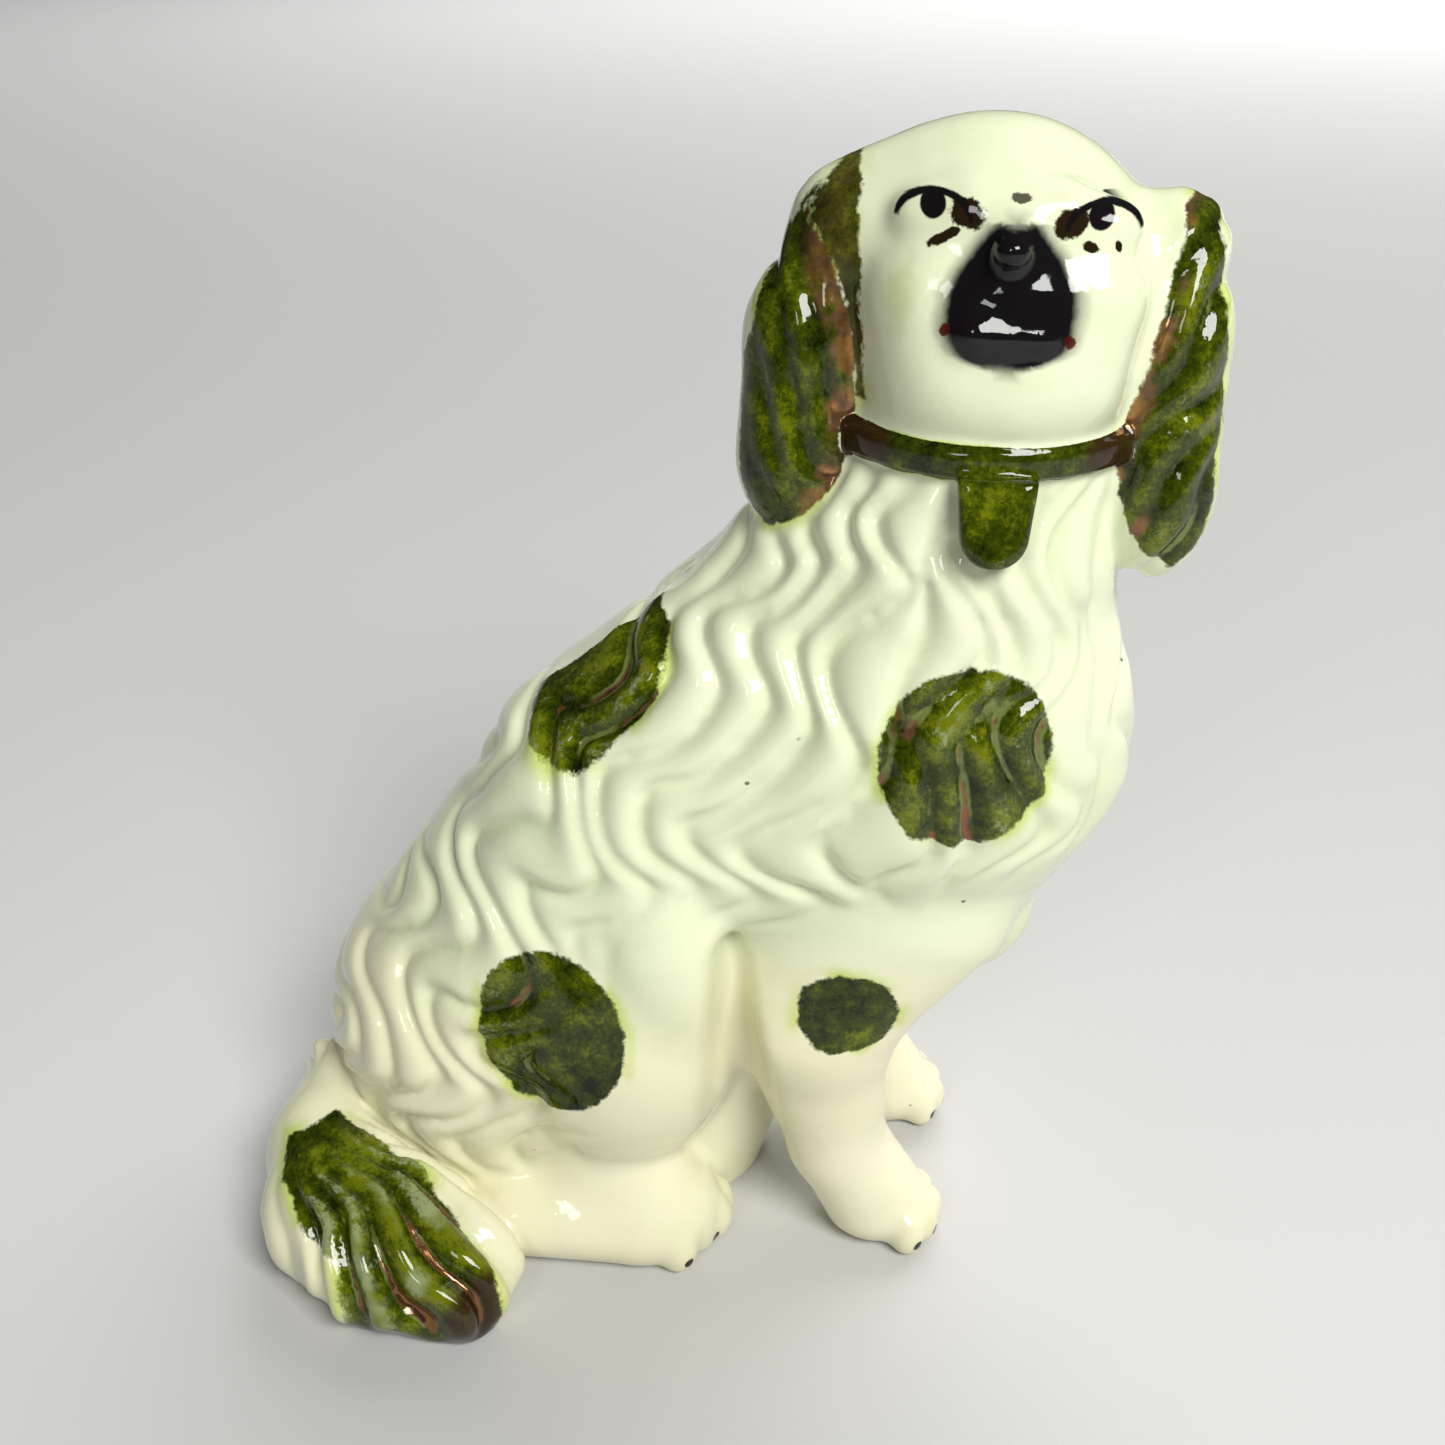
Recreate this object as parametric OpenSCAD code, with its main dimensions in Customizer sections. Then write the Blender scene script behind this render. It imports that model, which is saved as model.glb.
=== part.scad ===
// Seated spaniel mantel figurine in glazed earthenware, with its head turned to its right.
// +X is the way the body faces, -Y is the way the face looks, and +Z is up.
// The origin is on the ground, on the mould seam, near the middle of the closing slab.

/* [Figure] */
// Height from the ground to the top of the skull; the whole figure grows with it
figure_h = 215; // [180:1:260]
// Half width of the body at the haunches, for a figure drawn_h high, like every size below
haunch_half_w = 41; // [34:0.5:50]

/* [Torso] */
// Radius of the rump
rump_r = 37; // [31:0.5:45]
// Radius of the waist
waist_r = 31; // [26:0.5:38]
// Radius of the chest, seen from the side
chest_r = 40; // [34:0.5:48]
// Half width of the chest
chest_half_w = 34; // [28:0.5:41]
// How far the chest centre lies in front of the origin
chest_x = 72; // [60:1:87]
// Height of the chest centre
chest_z = 112; // [94:1:134]
// Radius of the neck under the collar
neck_r = 25; // [21:0.5:30]
// Thickness of the pressed clay wall
wall = 4.5; // [3.5:0.1:6]

/* [Head] */
// Height from the collar's middle to the top of the skull
head_h = 47; // [39:0.5:57]
// Half width of the skull between the ears
skull_half_w = 22; // [18:0.5:27]
// Depth of the skull from the face to its back
skull_depth = 50; // [42:0.5:60]
// How far the head's middle lies in front of the origin
head_x = 81.5; // [68:0.5:98]
// Half width of the muzzle
muzzle_half_w = 10.5; // [8.5:0.1:12.5]
// Length of an ear from its root to its tip
ear_len = 61; // [50:0.5:74]
// Width of an ear at its widest, seen from the front
ear_w = 21; // [17:0.5:26]
// Thickness of an ear from front to back
ear_t = 22; // [18:0.5:27]

/* [Collar] */
// Height of the collar band
collar_h = 6; // [5:0.1:7.5]
// How far the collar stands out of the neck
collar_t = 1.8; // [1.5:0.1:2.4]
// Width of the locket that hangs from the collar
locket_w = 12; // [10:0.1:14.5]
// Length of the locket
locket_h = 14.5; // [12:0.1:17.5]
// Thickness of the locket
locket_t = 4; // [3.3:0.1:4.8]

/* [Legs] */
// Distance between the middles of the two fore paws
stance_w = 35; // [29:0.5:43]
// Length of a fore paw
fore_paw_len = 26; // [22:0.5:32]
// Width of a fore paw
fore_paw_w = 21; // [17.5:0.5:25]
// Height of a fore paw
fore_paw_h = 17; // [14:0.5:21]
// How far the fore paws' middle lies in front of the origin
fore_paw_x = 74; // [62:0.5:89]
// Half thickness of a foreleg at its ankle
ankle_r = 10; // [8.5:0.1:12]
// Length of a hind foot
hind_foot_len = 48; // [40:0.5:58]
// Width of a hind foot
hind_foot_w = 25; // [21:0.5:30]
// Height of a hind foot
hind_foot_h = 17; // [14:0.5:21]

/* [Tail] */
// Height of the tail where it leaves the rump
tail_root_h = 42; // [35:0.5:51]
// Thickness of the tail's plume
tail_t = 23; // [19:0.5:28]
// How far the plume lies out from the mould seam
tail_out = 49; // [44:0.5:58]

/* [Base] */
// Width of the foot rim that the figure stands on
foot_rim_w = 8; // [6:0.5:12]
// Thickness of the slab that closes the underside
slab_t = 4; // [3.3:0.1:4.8]
// Radius of the vent hole in the slab
vent_r = 4; // [3.3:0.1:4.8]

/* [Hidden] */

glaze = "honeydew";
copper_green = "olivedrab";
nose_black = "black";

drawn_h = 215;    // the height that the sizes above are given for
blob_fn = 28;     // facets of the big hulled ellipsoids
small_fn = 20;    // facets of the small ones
round_fn = 96;    // facets of what is drawn as a true circle
reach = 400;      // half side of a cutting block, larger than the figure
ground_flat = 1.5; // how far the round undersides are rubbed flat
neck_fit = 14;    // how far the round neck runs below the collar's middle
locket_lean = 12; // degrees that the locket leans out with the chest

// The trunk, from the rump up to the neck
rump_at = [-9, 0, rump_r];
seat_r = rump_r * 0.86;
belly_at = [22, 0, 0];
belly_r = rump_r * 0.6;
chest_at = [chest_x, 0, chest_z];
waist_at = rump_at * 0.55 + chest_at * 0.45 + [-5, 0, 18];
collar_z = drawn_h - head_h;
neck_at = [head_x, 0, collar_z - collar_h];
ruff_at = [head_x - 3, -1, (collar_z + chest_z) / 2 + 5];
withers_at = [head_x - 20, 0, (collar_z + chest_z) / 2 - 2];
brisket_at = [chest_x + 10, 0, chest_z - chest_r];

// The thigh, mirrored for the far side
thigh_r = [31, haunch_half_w * 0.56, 42];
hip_at = [11, haunch_half_w - thigh_r[1], 54];
knee_at = [28, haunch_half_w - 15, 68];

// The head
skull_r = [skull_half_w + 4, skull_depth / 2, head_h * 0.58];
skull_at = [head_x, 2, drawn_h - skull_r[2]];
face_y = skull_at[1] - skull_r[1];
jaw_at = [head_x + 1, face_y + 16, collar_z + 12];
muzzle_at = [head_x + 2, face_y + 2, collar_z + 23.5];

// The ears hang from the sides of the skull
ear_root_x = skull_half_w - 2;
ear_hang_x = skull_half_w + ear_w * 0.4;
ear_top_z = drawn_h - 10;
ear_tip_z = ear_top_z - ear_len;

// The legs
fore_paw_at = [fore_paw_x, stance_w / 2, fore_paw_h / 2 - ground_flat];
ankle_at = [fore_paw_x - 8, stance_w / 2, fore_paw_h + ankle_r * 0.6];
forearm_at = [chest_x - 10, stance_w / 2 + 1, chest_z - chest_r * 1.45];
shoulder_at = [chest_x + 2, stance_w / 2 - 2, chest_z - chest_r * 0.85];
hind_foot_at = [19, haunch_half_w - hind_foot_w * 0.5, hind_foot_h / 2 - ground_flat];
hind_foot_turn = 12; // degrees that a hind foot is turned out

// ---------- helpers ----------

module blob(at, r, fn = blob_fn) translate(at) scale(r) sphere(r = 1, $fn = fn);

// A tapered limb between two ellipsoids
module limb(a, ra, b, rb, fn = blob_fn) hull() {
    blob(a, ra, fn);
    blob(b, rb, fn);
}

function shrink(r, by) = [for (v = r) max(v - by, 1)];
function flip_y(p, side) = [p[0], p[1] * side, p[2]];
function ball(r) = [r, r, r];

module above(z) translate([-reach, -reach, z]) cube(2 * reach);
module below(z) translate([-reach, -reach, z - 2 * reach]) cube(2 * reach);
module near_side() translate([-reach, -2 * reach, -reach]) cube(2 * reach);
module far_side() translate([-reach, 0, -reach]) cube(2 * reach);

// The figure is drawn drawn_h high and grown to figure_h
module grown() scale(figure_h / drawn_h) children();

// ---------- the hollow trunk ----------

// A round disc that reaches a little below the ground, where the trunk is cut level
module ground_disc(at, r) translate([at[0], at[1], -3]) cylinder(r = r, h = 5, $fn = 48);

// The trunk's skin, taken in by inset for its cavity
module trunk(inset = 0) {
    rump = shrink([rump_r + 1, rump_r, rump_r], inset);
    waist = shrink([waist_r, waist_r, waist_r], inset);
    chest = shrink([chest_r, chest_half_w, chest_r + 1], inset);
    ruff = shrink([neck_r + 4, neck_r + 2, neck_r], inset);
    hull() {
        blob(rump_at, rump);
        ground_disc(rump_at, seat_r - inset);
    }
    hull() {
        blob(rump_at + [2, 0, 4], rump - [4, 2, 6]);
        blob(waist_at, waist - [6, 6, 6]);
        ground_disc(rump_at + [1, 0, 0], seat_r - 1 - inset);
        ground_disc(belly_at, belly_r - inset);
    }
    limb(rump_at, rump, waist_at, waist);
    limb(waist_at, waist, chest_at, chest);
    limb(chest_at, chest, ruff_at, ruff);
    hull() {
        blob(ruff_at, ruff);
        translate([head_x, 0, collar_z - neck_fit]) cylinder(r = neck_r - inset, h = neck_fit, $fn = 48);
    }
    limb(waist_at, waist, withers_at, shrink(ball(neck_r - 4), inset));
    limb(withers_at, shrink(ball(neck_r - 4), inset), ruff_at, ruff);
    limb(chest_at, chest - [4, 4, 4], brisket_at, shrink([17, 17, 15], inset));
    for (side = [-1, 1])
        hull() {
            blob(flip_y(hip_at, side), shrink(thigh_r, inset));
            blob(flip_y(knee_at, side), shrink([15, 13, 24], inset));
        }
}

module trunk_skin() intersection() {
    trunk();
    difference() {
        above(0);
        above(collar_z);
    }
}

module trunk_cavity() difference() {
    union() {
        trunk(wall);
        translate([head_x, 0, collar_z - 3]) cylinder(r = neck_r - wall, h = 6, $fn = 48);
    }
    below(slab_t);
}

module torso_shell() difference() {
    trunk_skin();
    trunk_cavity();
    slab_outline();
    collar_ring();
    locket_tab();
}

module torso_near_half() color(glaze) grown() intersection() {
    torso_shell();
    near_side();
}

module torso_far_half() color(glaze) grown() intersection() {
    torso_shell();
    far_side();
}

// ---------- the slab that closes the underside ----------

module slab_outline() linear_extrude(slab_t) hull() {
    translate([rump_at[0], 0]) circle(r = seat_r - foot_rim_w, $fn = round_fn);
    translate([belly_at[0], 0]) circle(r = belly_r - foot_rim_w, $fn = round_fn);
}

module base_slab() color(glaze) grown() difference() {
    slab_outline();
    translate([rump_at[0] - 6, 0, -1]) cylinder(r = vent_r, h = slab_t + 2, $fn = round_fn);
}

// ---------- the head ----------

module skull(inset = 0) {
    top = shrink(skull_r, inset);
    jaw = shrink([skull_half_w - 2, 16, 14], inset);
    limb(skull_at, top, jaw_at, jaw);
    hull() {
        blob(skull_at + [0, 0, -4], top - [4, 4, 6]);
        blob(jaw_at, jaw - [2, 2, 2]);
        translate([head_x, 0, collar_z - 1]) cylinder(r = neck_r - inset, h = 3, $fn = 48);
    }
    for (side = [-1, 1])
        hull() {
            blob(skull_at + [side * 5, 0, -8], shrink([skull_half_w - 2, skull_r[1] - 2, 15], inset));
            blob(jaw_at + [side * 8, 1, 4], shrink([12, 12, 11], inset));
        }
}

module head_skin() intersection() {
    skull();
    above(collar_z);
}

module head_shell() difference() {
    head_skin();
    skull(wall);
    translate([head_x, 0, collar_z - 3]) cylinder(r = neck_r - wall, h = 6, $fn = 48);
    collar_ring();
}

module head_face_half() color(glaze) grown() intersection() {
    head_shell();
    near_side();
}

module head_back_half() color(glaze) grown() intersection() {
    head_shell();
    far_side();
}

module muzzle_form() {
    hull() {
        blob(muzzle_at + [0, -1, 0], [muzzle_half_w, 9, 8], small_fn);
        blob(muzzle_at + [0, -3, 5], [muzzle_half_w * 0.55, 7, 6], small_fn);
    }
    hull() {
        blob(muzzle_at + [0, 0, -4], [muzzle_half_w * 0.9, 8, 5.5], small_fn);
        blob(muzzle_at + [0, -1, 0], [muzzle_half_w, 8, 6], small_fn);
    }
}

module muzzle() color(nose_black) grown() difference() {
    muzzle_form();
    skull();
}

// ---------- the ears ----------

module ear_form(side) {
    root = [head_x + side * ear_root_x, 2, ear_top_z - 9];
    swell = [head_x + side * ear_hang_x, -3, ear_top_z - ear_len * 0.55];
    tip = [head_x + side * (ear_hang_x + 1), -5, ear_tip_z + 12];
    upper = [11, ear_t * 0.5, 13];
    middle = [ear_w * 0.52, ear_t * 0.5, 17];
    lower = [ear_w * 0.44, ear_t * 0.42, 12];
    limb(root, upper, swell, middle);
    limb(swell, middle, tip, lower);
}

module ear(side) color(copper_green) grown() difference() {
    ear_form(side);
    skull();
    trunk();
    collar_ring();
}

module right_ear() ear(-1);
module left_ear() ear(1);

// ---------- the collar and its locket ----------

module collar_ring() translate([head_x, 0, collar_z]) rotate_extrude($fn = round_fn)
    translate([neck_r - 1, -collar_h / 2]) square([collar_t + 1, collar_h]);

// The locket is let into the chest by a third of its thickness
module locket_tab() translate([head_x + 2, -neck_r - collar_t, collar_z - collar_h / 2])
    rotate([90 - locket_lean, 0, 0]) translate([0, 0, -locket_t * 0.6]) linear_extrude(locket_t) {
        translate([0, -locket_h + locket_w / 2]) circle(d = locket_w, $fn = round_fn);
        translate([-locket_w / 2, -locket_h + locket_w / 2]) square([locket_w, locket_h - locket_w / 2]);
    }

module collar() color(copper_green) grown() collar_ring();

module collar_locket() color(copper_green) grown() difference() {
    locket_tab();
    collar_ring();
    above(collar_z - collar_h / 2);
}

// ---------- the legs ----------

// Four toes across the front of a paw
module toes(at, across, high) for (i = [-1.5:1.5])
    blob(at + [3 - abs(i) * 2, i * across * 0.24, -0.5], [6, across * 0.15, high / 2 - 1], small_fn);

module foreleg_form(side) {
    paw = flip_y(fore_paw_at, side);
    ankle = flip_y(ankle_at, side);
    forearm = flip_y(forearm_at, side);
    elbow = [18, 13, 12];
    limb(paw, [fore_paw_len / 2, fore_paw_w / 2, fore_paw_h / 2], ankle, ball(ankle_r));
    limb(ankle, ball(ankle_r), forearm, elbow);
    limb(forearm, elbow, flip_y(shoulder_at, side), [26, 15, 19]);
    toes(paw + [fore_paw_len * 0.24, 0, 0], fore_paw_w, fore_paw_h);
}

module foreleg(side) color(glaze) grown() intersection() {
    difference() {
        foreleg_form(side);
        trunk();
    }
    above(0);
}

module near_foreleg() foreleg(-1);
module far_foreleg() foreleg(1);

module hind_foot_form(side) translate(flip_y(hind_foot_at, side)) rotate([0, 0, side * hind_foot_turn]) {
    front = [15, hind_foot_w / 2, hind_foot_h / 2];
    limb([-hind_foot_len * 0.36, side * 3, 1], [12, hind_foot_w * 0.5, hind_foot_h / 2 + 1],
         [hind_foot_len * 0.2, 0, 0], front);
    limb([0, side * -3, 7], [15, hind_foot_w * 0.44, 13], [10, 0, 0], front);
    toes([hind_foot_len * 0.3, 0, 0], hind_foot_w, hind_foot_h);
}

module hind_foot(side) color(glaze) grown() intersection() {
    difference() {
        hind_foot_form(side);
        trunk();
    }
    above(0);
}

module near_hind_foot() hind_foot(-1);
module far_hind_foot() hind_foot(1);

// ---------- the tail ----------

// The plume's stations from the rump to its tip: place, radii
tail_path = [
    [[-40, -12, tail_root_h * 0.5], [10, 10, tail_root_h * 0.46]],
    [[-41, -28, 14], [13, 14, 20]],
    [[-34, -39, 10], [16, 16, 17]],
    [[-21, -tail_out + 3, 8], [16, 16, tail_t * 0.7]],
    [[-9, -tail_out, 6], [12, 14, tail_t * 0.58]],
    [[-4, -tail_out - 2, 5], [7, 11, tail_t * 0.45]]
];

module tail_form() for (i = [0:len(tail_path) - 2])
    limb(tail_path[i][0], tail_path[i][1], tail_path[i + 1][0], tail_path[i + 1][1]);

module tail() color(glaze) grown() intersection() {
    difference() {
        tail_form();
        trunk();
        hind_foot_form(-1);
    }
    above(0);
}

torso_near_half();
torso_far_half();
base_slab();
head_face_half();
head_back_half();
muzzle();
right_ear();
left_ear();
collar();
collar_locket();
near_foreleg();
far_foreleg();
near_hind_foot();
far_hind_foot();
tail();
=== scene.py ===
import math

import bpy
import numpy as np
from bpy.props import FloatProperty, FloatVectorProperty, IntProperty, PointerProperty
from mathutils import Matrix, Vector


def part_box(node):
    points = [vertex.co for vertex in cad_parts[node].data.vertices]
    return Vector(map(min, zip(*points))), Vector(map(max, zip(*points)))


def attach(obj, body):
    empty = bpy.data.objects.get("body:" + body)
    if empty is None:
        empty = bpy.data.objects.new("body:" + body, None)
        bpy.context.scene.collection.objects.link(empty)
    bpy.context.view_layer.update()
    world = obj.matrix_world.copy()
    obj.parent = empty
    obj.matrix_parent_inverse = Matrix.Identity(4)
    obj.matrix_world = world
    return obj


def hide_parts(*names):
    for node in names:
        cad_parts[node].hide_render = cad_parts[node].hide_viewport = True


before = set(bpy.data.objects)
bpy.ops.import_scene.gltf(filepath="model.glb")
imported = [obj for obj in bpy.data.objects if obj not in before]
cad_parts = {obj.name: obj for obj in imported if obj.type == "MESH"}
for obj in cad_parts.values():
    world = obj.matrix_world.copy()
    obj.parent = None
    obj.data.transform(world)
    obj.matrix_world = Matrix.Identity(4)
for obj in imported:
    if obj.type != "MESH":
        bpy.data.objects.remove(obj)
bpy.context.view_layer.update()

bl_info = {
    "name": "Seated spaniel mantel figurine",
    "version": (1, 0, 0),
    "blender": (4, 5, 0),
    "location": "View3D > Sidebar > Figurine",
    "description": "A hollow glazed earthenware spaniel with a curly coat, copper green spots and lustre",
    "category": "Object",
}

MM = 0.001
FULL_HEIGHT = 214.83  # mm to the top of the head, in the figure that the bare sizes below are given for
FORMS = {}  # the lumps of clay that each part is built from, by name
PARTS = {}  # the finished skin, cut into the parts it is assembled from


# ---------- sizes and colours ----------


def length(name, description, default, lowest):
    """A size that a user may change."""
    return FloatProperty(name=name, description=description, default=default, min=lowest, unit="LENGTH")


def amount(name, description, default):
    """A bare number that a user may change."""
    return FloatProperty(name=name, description=description, default=default, min=0)


def tint(name, description, default):
    """A colour that a user may change."""
    return FloatVectorProperty(name=name, description=description, subtype="COLOR", size=3, default=default)


class FIGURINE_PG_clay(bpy.types.PropertyGroup):
    step: length("Skin step", "Size of the faces of the modelled skin", 0.00081, 0.0004)
    wall: length("Skin thickness", "How thick each piece's skin is", 0.0016, 0.0005)
    slab: length("Slab thickness", "How thick the closing slab is", 0.0038, 0.001)
    vent: length("Vent radius", "Radius of the hole in the closing slab", 0.004, 0.001)


class FIGURINE_PG_coat(bpy.types.PropertyGroup):
    relief: length("Relief", "Height of the locks above the grooves", 0.0036, 0)
    lock: length("Lock width", "Distance from one lock of the coat to the next", 0.0094, 0.003)
    wave: length("Wave length", "Length of one S of a lock", 0.029, 0.01)
    swing: amount("Swing", "How far a lock swings to each side, in lock widths", 0.42)
    ragged: amount("Raggedness", "How far the locks wander, in lock widths", 0.42)
    seed: IntProperty(name="Seed", description="Picks where the locks wander", default=5)


class FIGURINE_PG_glaze(bpy.types.PropertyGroup):
    white: tint("White glaze", "Clear glaze over the white body", (0.73, 0.78, 0.55))
    # the pooled glaze is also laid into the grooves as painted shade
    pooled: tint("Pooled glaze", "Where the glaze lies thick in a groove", (0.50, 0.60, 0.30))
    cream: tint("Cream glaze", "Thin glaze over the legs and feet", (0.78, 0.745, 0.52))
    deep_green: tint("Deep green", "Copper green where the brush left most", (0.004, 0.009, 0.0005))
    green: tint("Green", "Copper green", (0.034, 0.050, 0.001))
    olive: tint("Olive", "Copper green where it is thin", (0.15, 0.175, 0.004))
    lustre: tint("Lustre", "Copper lustre", (0.20, 0.09, 0.035))
    ink: tint("Black enamel", "Nose, eyelids, pupils and claws", (0.006, 0.005, 0.006))
    rust: tint("Brown smudge", "Thin brown at the eyes' corners", (0.018, 0.010, 0.004))


class FIGURINE_PG_stage(bpy.types.PropertyGroup):
    floor: tint("Floor", "The pale sweep the figure stands on", (0.54, 0.54, 0.535))
    key: amount("Key light", "Power of the large soft box", 16.5)
    lens: FloatProperty(name="Lens", description="Focal length of the camera", default=38.6, min=10)


# ---------- lumps of clay: signed distances in mm ----------


class Box:
    """Where CAD nodes lie, in mm."""

    def __init__(self, *nodes):
        corners = np.array([[tuple(c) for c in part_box(n)] for n in nodes]) * 1000
        self.lo, self.hi = corners[:, 0].min(0), corners[:, 1].max(0)
        self.mid = (self.lo + self.hi) / 2


class Lump:
    """A signed distance with the box it lies in."""

    def __init__(self, distance, lo, hi):
        self.distance, self.lo, self.hi = distance, np.array(lo, float), np.array(hi, float)

    def __call__(self, x, y, z):
        return self.distance(x, y, z)


def blob(c, r):
    """An ellipsoid."""
    c, r = np.array(c, float), np.array(r, float) * np.ones(3)

    def distance(x, y, z):
        a, b, e = (x - c[0]) / r[0], (y - c[1]) / r[1], (z - c[2]) / r[2]
        near = np.sqrt(a * a + b * b + e * e)
        slope = np.sqrt((a / r[0]) ** 2 + (b / r[1]) ** 2 + (e / r[2]) ** 2)
        return near * (near - 1) / np.maximum(slope, 1e-4)

    return Lump(distance, c - r, c + r)


def limb(a, ra, b, rb):
    """An ellipsoid that changes evenly from one place and size to another."""
    a, b = np.array(a, float), np.array(b, float)
    ra, rb = np.array(ra, float) * np.ones(3), np.array(rb, float) * np.ones(3)
    run = b - a
    even = (ra + rb) / 2
    pull = run / even / even
    length = float(run @ pull)

    def distance(x, y, z):
        t = np.clip(((x - a[0]) * pull[0] + (y - a[1]) * pull[1] + (z - a[2]) * pull[2]) / length, 0, 1)
        r = [ra[i] + (rb[i] - ra[i]) * t for i in range(3)]
        p = [(v - a[i] - run[i] * t) / r[i] for i, v in enumerate((x, y, z))]
        near = np.sqrt(p[0] ** 2 + p[1] ** 2 + p[2] ** 2)
        slope = np.sqrt((p[0] / r[0]) ** 2 + (p[1] / r[1]) ** 2 + (p[2] / r[2]) ** 2)
        return near * (near - 1) / np.maximum(slope, 1e-4)

    return Lump(distance, np.minimum(a - ra, b - rb), np.maximum(a + ra, b + rb))


def rounded(flat, thick, soft):
    """The distance to an outline with a thickness, its edges rounded by soft."""
    flat, thick = flat + soft, thick + soft
    return np.minimum(np.maximum(flat, thick), 0) + np.hypot(np.maximum(flat, 0), np.maximum(thick, 0)) - soft


def band(c, radius, half_h, soft):
    """A ring's solid disc: a short upright cylinder with rounded edges."""

    def distance(x, y, z):
        return rounded(np.hypot(x - c[0], y - c[1]) - radius, np.abs(z - c[2]) - half_h, soft)

    reach = np.array([radius, radius, half_h])
    return Lump(distance, c - reach, c + reach)


def tab(c, half, lean, soft):
    """A tongue-shaped tab that hangs from c, leaning out towards -Y as it goes down."""
    w, t, h = half
    cs, sn = math.cos(lean), math.sin(lean)
    taper = 0.10  # how much wider it gets towards the top

    def distance(x, y, z):
        side = np.abs(x - c[0])
        out = (y - c[1]) * cs - (z - c[2]) * sn
        up = (y - c[1]) * sn + (z - c[2]) * cs + h
        round_end = np.hypot(side, np.minimum(up + h - w, 0))
        flat = np.maximum(round_end - w - taper * up + 0.02 * h, up - h)
        return rounded(flat, np.abs(out) - t, soft)

    lo = (c[0] - w * 1.4, c[1] - 2 * t - 2 * h * abs(sn), c[2] - 2 * h - 1)
    return Lump(distance, lo, (c[0] + w * 1.4, c[1] + 2 * t, c[2] + 1))


def sliced(lump, c, way):
    """The lump cut flat by a plane through c that faces way."""
    way = np.array(way, float) / np.linalg.norm(way)

    def distance(x, y, z):
        plane = (x - c[0]) * way[0] + (y - c[1]) * way[1] + (z - c[2]) * way[2]
        return np.maximum(lump(x, y, z), plane)

    return Lump(distance, lump.lo, lump.hi)


def flipped(lump):
    """The lump mirrored in the mould seam."""
    lo, hi = lump.lo.copy(), lump.hi.copy()
    lo[1], hi[1] = -lump.hi[1], -lump.lo[1]
    return Lump(lambda x, y, z: lump(x, -y, z), lo, hi)


def soft_min(a, b, k):
    """The smaller of a and b, rounded over k where they are alike."""
    if np.ndim(k) == 0 and k <= 0:
        return np.minimum(a, b)
    h = np.maximum(k - np.abs(a - b), 0) / k
    return np.minimum(a, b) - h * h * k * 0.25


def form(lumps, x, y, z):
    """The distance to lumps that are worked together, each with its own softness."""
    d = None
    for lump, k in lumps:
        d = lump(x, y, z) if d is None else soft_min(d, lump(x, y, z), k)
    return d


def strand(stations, soft):
    """Limbs from each station to the next, where a station is a place and its radii."""
    return [(limb(*near, *far), soft) for near, far in zip(stations, stations[1:])]


def mirrored(part):
    """A part's lumps on the other side of the mould seam."""
    return [(flipped(lump), soft) for lump, soft in part]


# ---------- the dog ----------

# each toe: the way it points, in degrees from straight ahead, and its reach in mm
FORE_TOES = ((-45, 14.0), (-20, 14.2), (3, 14.4), (27, 13.6))
HIND_TOES = ((-44, 14.4), (-9, 14.6), (10, 17.4), (27, 18.6))
# where the toes' hub lies beside the foot's own place, and a claw's height and radius, in mm
FORE_CLAWS, HIND_CLAWS = (-1.3, 0.2, 0), (7, 1, 0)
CLAW_Z, CLAW_R = 3.6, 1.15


def toward(degrees):
    """One step along the ground, turned from straight ahead."""
    return np.array([math.cos(math.radians(degrees)), math.sin(math.radians(degrees)), 0])


def toes(hub, spread, thick, u):
    """Toes that fan out from a paw's hub."""
    made = []
    for degrees, reach in spread:
        way = toward(degrees)
        radii = (thick * u, thick * u, (thick + 1.6) * u)
        made.append((limb(hub + way * (reach - 8) * u, radii, hub + way * (reach - thick) * u, radii), 1.5))
    return made


def claws_of(hub, spread, side):
    """Where the claws are painted, in the figure's own mm: (x, y, z, radius)."""
    tips = [hub + reach * toward(degrees) for degrees, reach in spread]
    return [(tip[0], side * tip[1], CLAW_Z, CLAW_R) for tip in tips]


def model_forms():
    """Fills FORMS with the dog's parts, laid out from where the CAD nodes are."""
    trunk, head = Box("torso_near_half", "torso_far_half"), Box("head_face_half", "head_back_half")
    u = head.hi[2] / FULL_HEIGHT  # how big this figure is beside the one the sizes are given for

    def at(x, y, z):
        return np.array([x, y, z], float)

    def r(*radii):
        return np.array(radii, float) * u

    collar = Box("collar")
    neck = at(collar.mid[0], 0, collar.mid[2])
    marks = dict(u=u, neck=neck, ears=(Box("right_ear"), Box("left_ear")), tail=Box("tail"))
    marks.update(model_trunk(trunk, neck, at, r, u))
    marks.update(model_head(head, neck, at, r, u))
    model_ears(marks, at, r, u)
    model_collar(collar, neck, at, r, u)
    marks.update(model_legs(at, r, u))
    model_tail(marks["tail"], at, r, u)
    FORMS["marks"] = marks


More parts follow.
